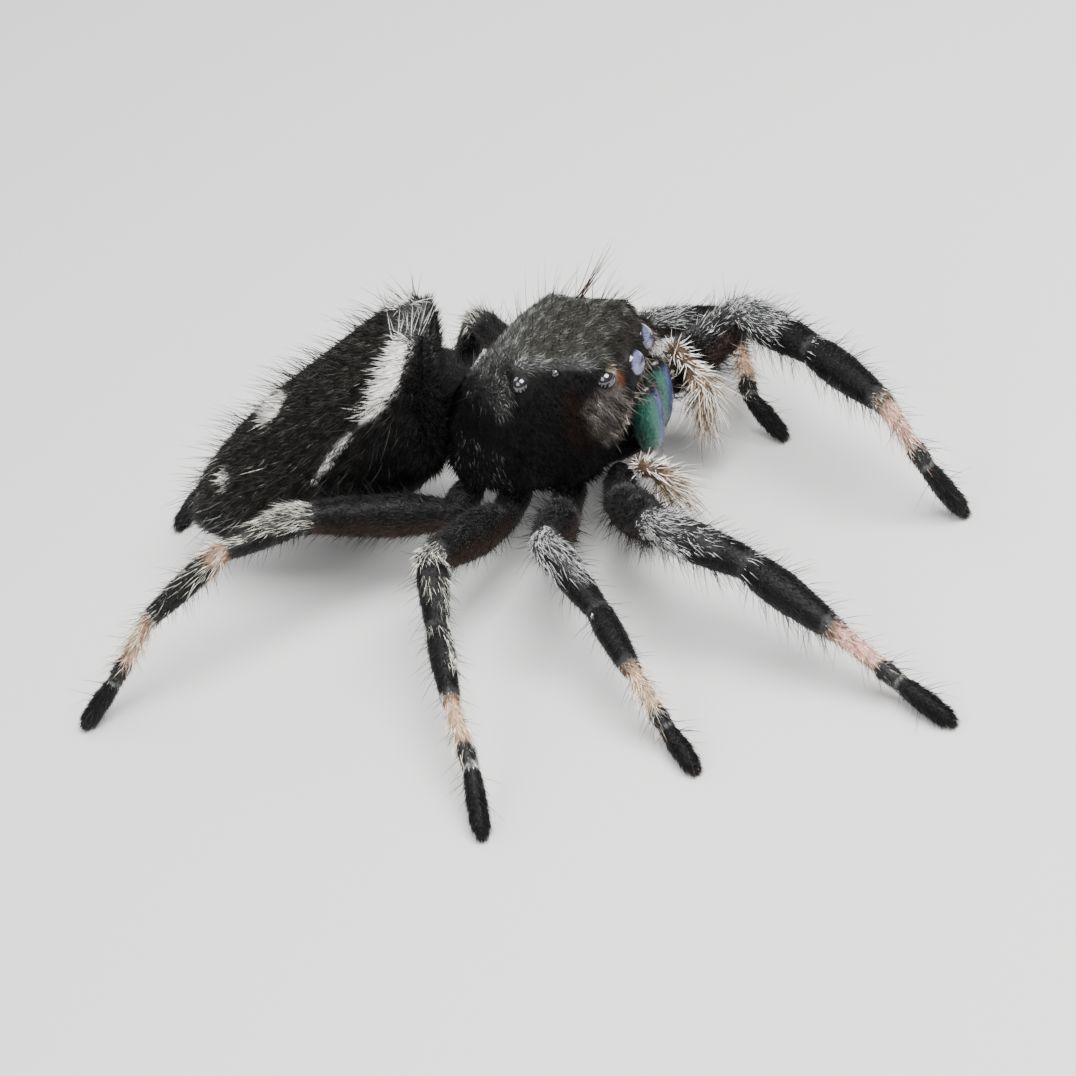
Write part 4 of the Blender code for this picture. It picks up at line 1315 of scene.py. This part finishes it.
def leg_velvet(side, pair, patch):
    """Short black velvet, with the marks' colours picked hair by hair."""
    def haired(points, along, turns):
        return (along > -0.9) * (1 - 0.7 * leg_marks(pair, side, along, turns)["pale"])

    def tint(roots):
        marks = leg_marks(pair, side, roots.along, roots.turn)
        tint = speckle(roots, BLACK * 0.6, BROWN_BLACK) * locks(roots.place) ** 0.5
        tint = layered(tint, (speckle(roots, BLACK, RUST * 0.55, 1.5), marks["under"] * 0.8))
        tint = layered(tint, (speckle(roots, GREY * 0.5, WHITE, 1), chosen(0.45 * marks["white"])))
        tint = layered(tint, (speckle(roots, GREY, GREY * 2.4, 1), chosen(0.6 * marks["grey"])))
        tint = layered(tint, (speckle(roots, SHANK[pair] * 0.7, WHITE, 1.6), marks["pale"]))
        tint = layered(tint, (WHITE, chosen(marks["ring"])))
        return layered(tint, (speckle(roots, TAN * 0.7, TAN * 1.5, 1), chosen(0.8 * marks["rust"])))

    yield hairs("leg_velvet", legs[(side, pair)], haired, tint, patch=patch, tip=1.35,
                longer=lambda roots: 0.07 * band(roots.along, -1, 1, 0.2))


def leg_long_coat(side, pair, patch):
    """The fringe under the leg, fine standing hairs over it, white tufts on the marks and the
    brush under the foot."""
    first = "_first" if pair == 1 else ""
    bright = WHITE * ((1.0, 0.96, 0.86) if pair > 2 else (0.84, 0.87, 0.90))

    def fringe_tint(roots):
        grey = 0.25 * band(roots.along, 0.9, 2.6, 0.3)
        return layered(speckle(roots, BLACK, BROWN_BLACK * 1.8), (GREY * 1.8, chosen(grey)))

    def marked(**weights):
        def share(points, along, turns):
            marks = leg_marks(pair, side, along, turns)
            return np.clip(sum(weight * marks[name] for name, weight in weights.items()), 0, 1)
        return share

    def longer(roots):
        return (0.07 if pair == 4 else 0) - 0.16 * between(roots.along, 2.7, 2.9)

    for kind, share, tint, more in (
            ("leg_fringe" + first, where(over=(-0.15, -0.8), along=(-0.4, 3.0 if first else 2.9, 0.15)),
             fringe_tint, {}),
            ("leg_standing" + first, where(over=(-0.5, 0.3), along=(0.1, 4.5, 0.2)),
             (BLACK, BROWN_BLACK * 3), {}),
            ("leg_white", marked(white=1, ring=0.3), (bright, GREY * 0.9, 1.2),
             {"longer": longer, "wave": 1.2}),
            ("leg_shaggy" + first, marked(pale=1, rust=0.45, grey=0.25),
             (WHITE * (1.0, 0.95, 0.84), SHANK[pair], 1.3), {}),
            ("leg_foot", where(along=(4.1, 4.5)), (BLACK, BROWN_BLACK * 1.4),
             {"towards": lambda roots: roots.lie + 0.5 * DOWN})):
        yield hairs(kind, legs[(side, pair)], share, tint, patch=patch, **more)


# How far the strands of each palp hang down, and how much longer they are.
PALP_STRANDS = {"right": (0.85, 0.20), "left": (0.45, 0.0)}


def palp_coat(side, patch):
    """Stubby white hairs that stand out of the arm, long cream and tan strands on the tip."""
    start = PALP_TIP_FROM[side]
    long_tip = where(along=(start + 0.02, start + 0.12))
    droop, longer = PALP_STRANDS[side]

    def tip(roots):
        return between(roots.along, start - 0.08, start + 0.05)

    def velvet_tint(roots):
        arm = speckle(roots, BROWN_BLACK, TAN * 0.6, 2)
        return layered(arm, (speckle(roots, TAN * 0.5, CREAM, 1.3), tip(roots)))

    def strand_tint(roots):
        warm = rng.random(len(roots.place))[:, None]
        return np.where(warm < 0.34, TAN * 0.6, np.where(warm < 0.68, CREAM * 0.9, WHITE * 0.95))

    for kind, share, tint, more in (
            ("palp_velvet", None, velvet_tint, {"tip": 1.3, "longer": lambda roots: 0.08 * tip(roots)}),
            ("palp_stubby", where(along=(0.12, start + 0.14, 0.06), over=(-0.7, 0.1)),
             (WHITE * 1.1, CREAM, 3), {}),
            ("palp_strand", long_tip, strand_tint,
             {"towards": lambda roots: roots.lie + droop * DOWN, "tip": 1.1, "longer": longer}),
            ("palp_curl", long_tip, (BLACK, TAN * 0.15, 1), {})):
        yield hairs(kind, palps[side], share, tint, patch=patch, **more)


def jaw_hairs():
    """Dark and pale hairs down each jaw, thickest at its top."""
    for jaw, patch in zip(jaws.values(), strips(2)):
        yield hairs("jaw_fine", jaw, None, lambda roots: speckle(roots, BLACK, GREY * 1.5, 2),
                    patch=patch)
        yield hairs("jaw_coarse", jaw, where(along=(0.2, 0.0)),
                    lambda roots: speckle(roots, BLACK, GREY * (1.2, 1.0, 0.85), 1.8), patch=patch)


def strips(count):
    """Rectangles side by side in the unwrap, one for each surface of a coat piece."""
    return [(k / count, 0.0, 1 / count, 1.0) for k in range(count)]


def of_each(surfaces, coat):
    """The hairs that coat(surface's key, patch) gives for each surface in turn."""
    for key, patch in zip(surfaces, strips(len(surfaces))):
        yield from coat(key, patch)


def leg_coats(side):
    """The coat pieces of one side's legs: name, finish, hairs."""
    for pairs in ((1, 2), (3, 4)):
        yield (f"legs_{pairs[0]}_{pairs[1]}_{side}", leg_finish,
               of_each(pairs, lambda pair, patch: leg_velvet(side, pair, patch)))
    yield (f"legs_long_{side}", hair_finish,
           of_each(HIPS, lambda pair, patch: leg_long_coat(side, pair, patch)))


for name, finish, groups, slot in (
        ("abdomen_left", hair_finish, abdomen_velvet(0), "hair_black"),
        ("abdomen_right", hair_finish, abdomen_velvet(180), "hair_black"),
        ("abdomen_marks", pale_finish, abdomen_marks_coat(), "hair_pale"),
        # the lighter hairs that are painted highlights on the abdomen
        ("abdomen_glints", hair_finish, abdomen_glints(), "hair_olive"),
        ("abdomen_long", hair_finish, abdomen_long_coat(), "hair_black"),
        ("head", hair_finish, carapace_coat(), "hair_olive"),
        ("head_scales", pale_finish, head_scales(), "hair_pale"),
        ("head_long", hair_finish, head_long_coat(), "hair_olive"),
        ("under", hair_finish, under_coat(), "hair_black"),
        *((*coat, "hair_black") for side, _ in SIDES for coat in leg_coats(side)),
        ("palps", pale_finish, of_each(palps, palp_coat), "hair_pale"),
        ("jaws", pale_finish, jaw_hairs(), "hair_pale")):
    coat_piece("coat_" + name, groups, finish, slot)

# ---------------------------------------------------------------- floor, light and camera

FLOOR_HALF = 0.6  # metres
VIEW_AZIMUTH, VIEW_RISE, VIEW_ROLL = 61, 38, 22.6
LENS, SENSOR, DISTANCE = 100.4, 36, 64.84
AIM_RIGHT, AIM_UP = -0.1145, -2.937  # how far the camera's aim is from the body's middle


def plain_finish(name, colour, roughness):
    """One colour and one roughness all over."""
    made = bpy.data.materials.new(name)
    made.use_nodes = True
    shader = made.node_tree.nodes["Principled BSDF"].inputs
    shader["Base Color"].default_value = colour
    shader["Roughness"].default_value = roughness
    return made


floor_mesh = bpy.data.meshes.new("floor")
corners = [(FLOOR_HALF * x, FLOOR_HALF * y, 0) for x, y in ((-1, -1), (1, -1), (1, 1), (-1, 1))]
floor_mesh.from_pydata(corners, [], [(0, 1, 2, 3)])
floor_mesh.materials.append(plain_finish("floor", (0.62, 0.61, 0.60, 1), 0.9))
linked("floor", floor_mesh)


def stand(obj, right, up, towards, place):
    """Sets an object's axes and place, in millimetres of the body's own directions."""
    matrix = np.eye(4)
    matrix[:3] = np.column_stack((right, up, towards, (place + MIDDLE) * MM))
    obj.matrix_world = Matrix(matrix.tolist())


def camera():
    """The camera, set by the heading it looks from and its roll about that line."""
    towards = heading(-VIEW_AZIMUTH, VIEW_RISE)
    level = unit(np.cross(UP, towards))
    upright = np.cross(towards, level)
    right = cosine(VIEW_ROLL) * level - sine(VIEW_ROLL) * upright
    up = sine(VIEW_ROLL) * level + cosine(VIEW_ROLL) * upright
    data = bpy.data.cameras.new("camera")
    data.lens, data.sensor_width = LENS, SENSOR
    data.clip_start, data.clip_end = 0.001, 10
    obj = linked("camera", data)
    stand(obj, right, up, towards, at(0, 0, 0) + AIM_RIGHT * right + AIM_UP * up + DISTANCE * towards)
    bpy.context.scene.camera = obj


def lamp(name, azimuth, rise, distance, size, power):
    """A square soft light that faces the animal, by the heading that it stands at."""
    towards = heading(azimuth, rise)
    level = unit(np.cross((0.0, 0.02, 1.0), towards))
    data = bpy.data.lights.new(name, "AREA")
    data.size, data.energy = size * MM, power
    stand(linked(name, data), level, np.cross(towards, level), towards, at(0, 0, 0) + towards * distance)


camera()
lamp("key", -20, 62, 90, 60, 0.26)
lamp("side", -110, 40, 100, 60, 0.06)
lamp("back", 150, 45, 110, 70, 0.06)
world = bpy.data.worlds.new("studio")
world.use_nodes = True
background = world.node_tree.nodes["Background"].inputs
background["Color"].default_value = (0.86, 0.88, 0.92, 1)
background["Strength"].default_value = 0.36
bpy.context.scene.world = world
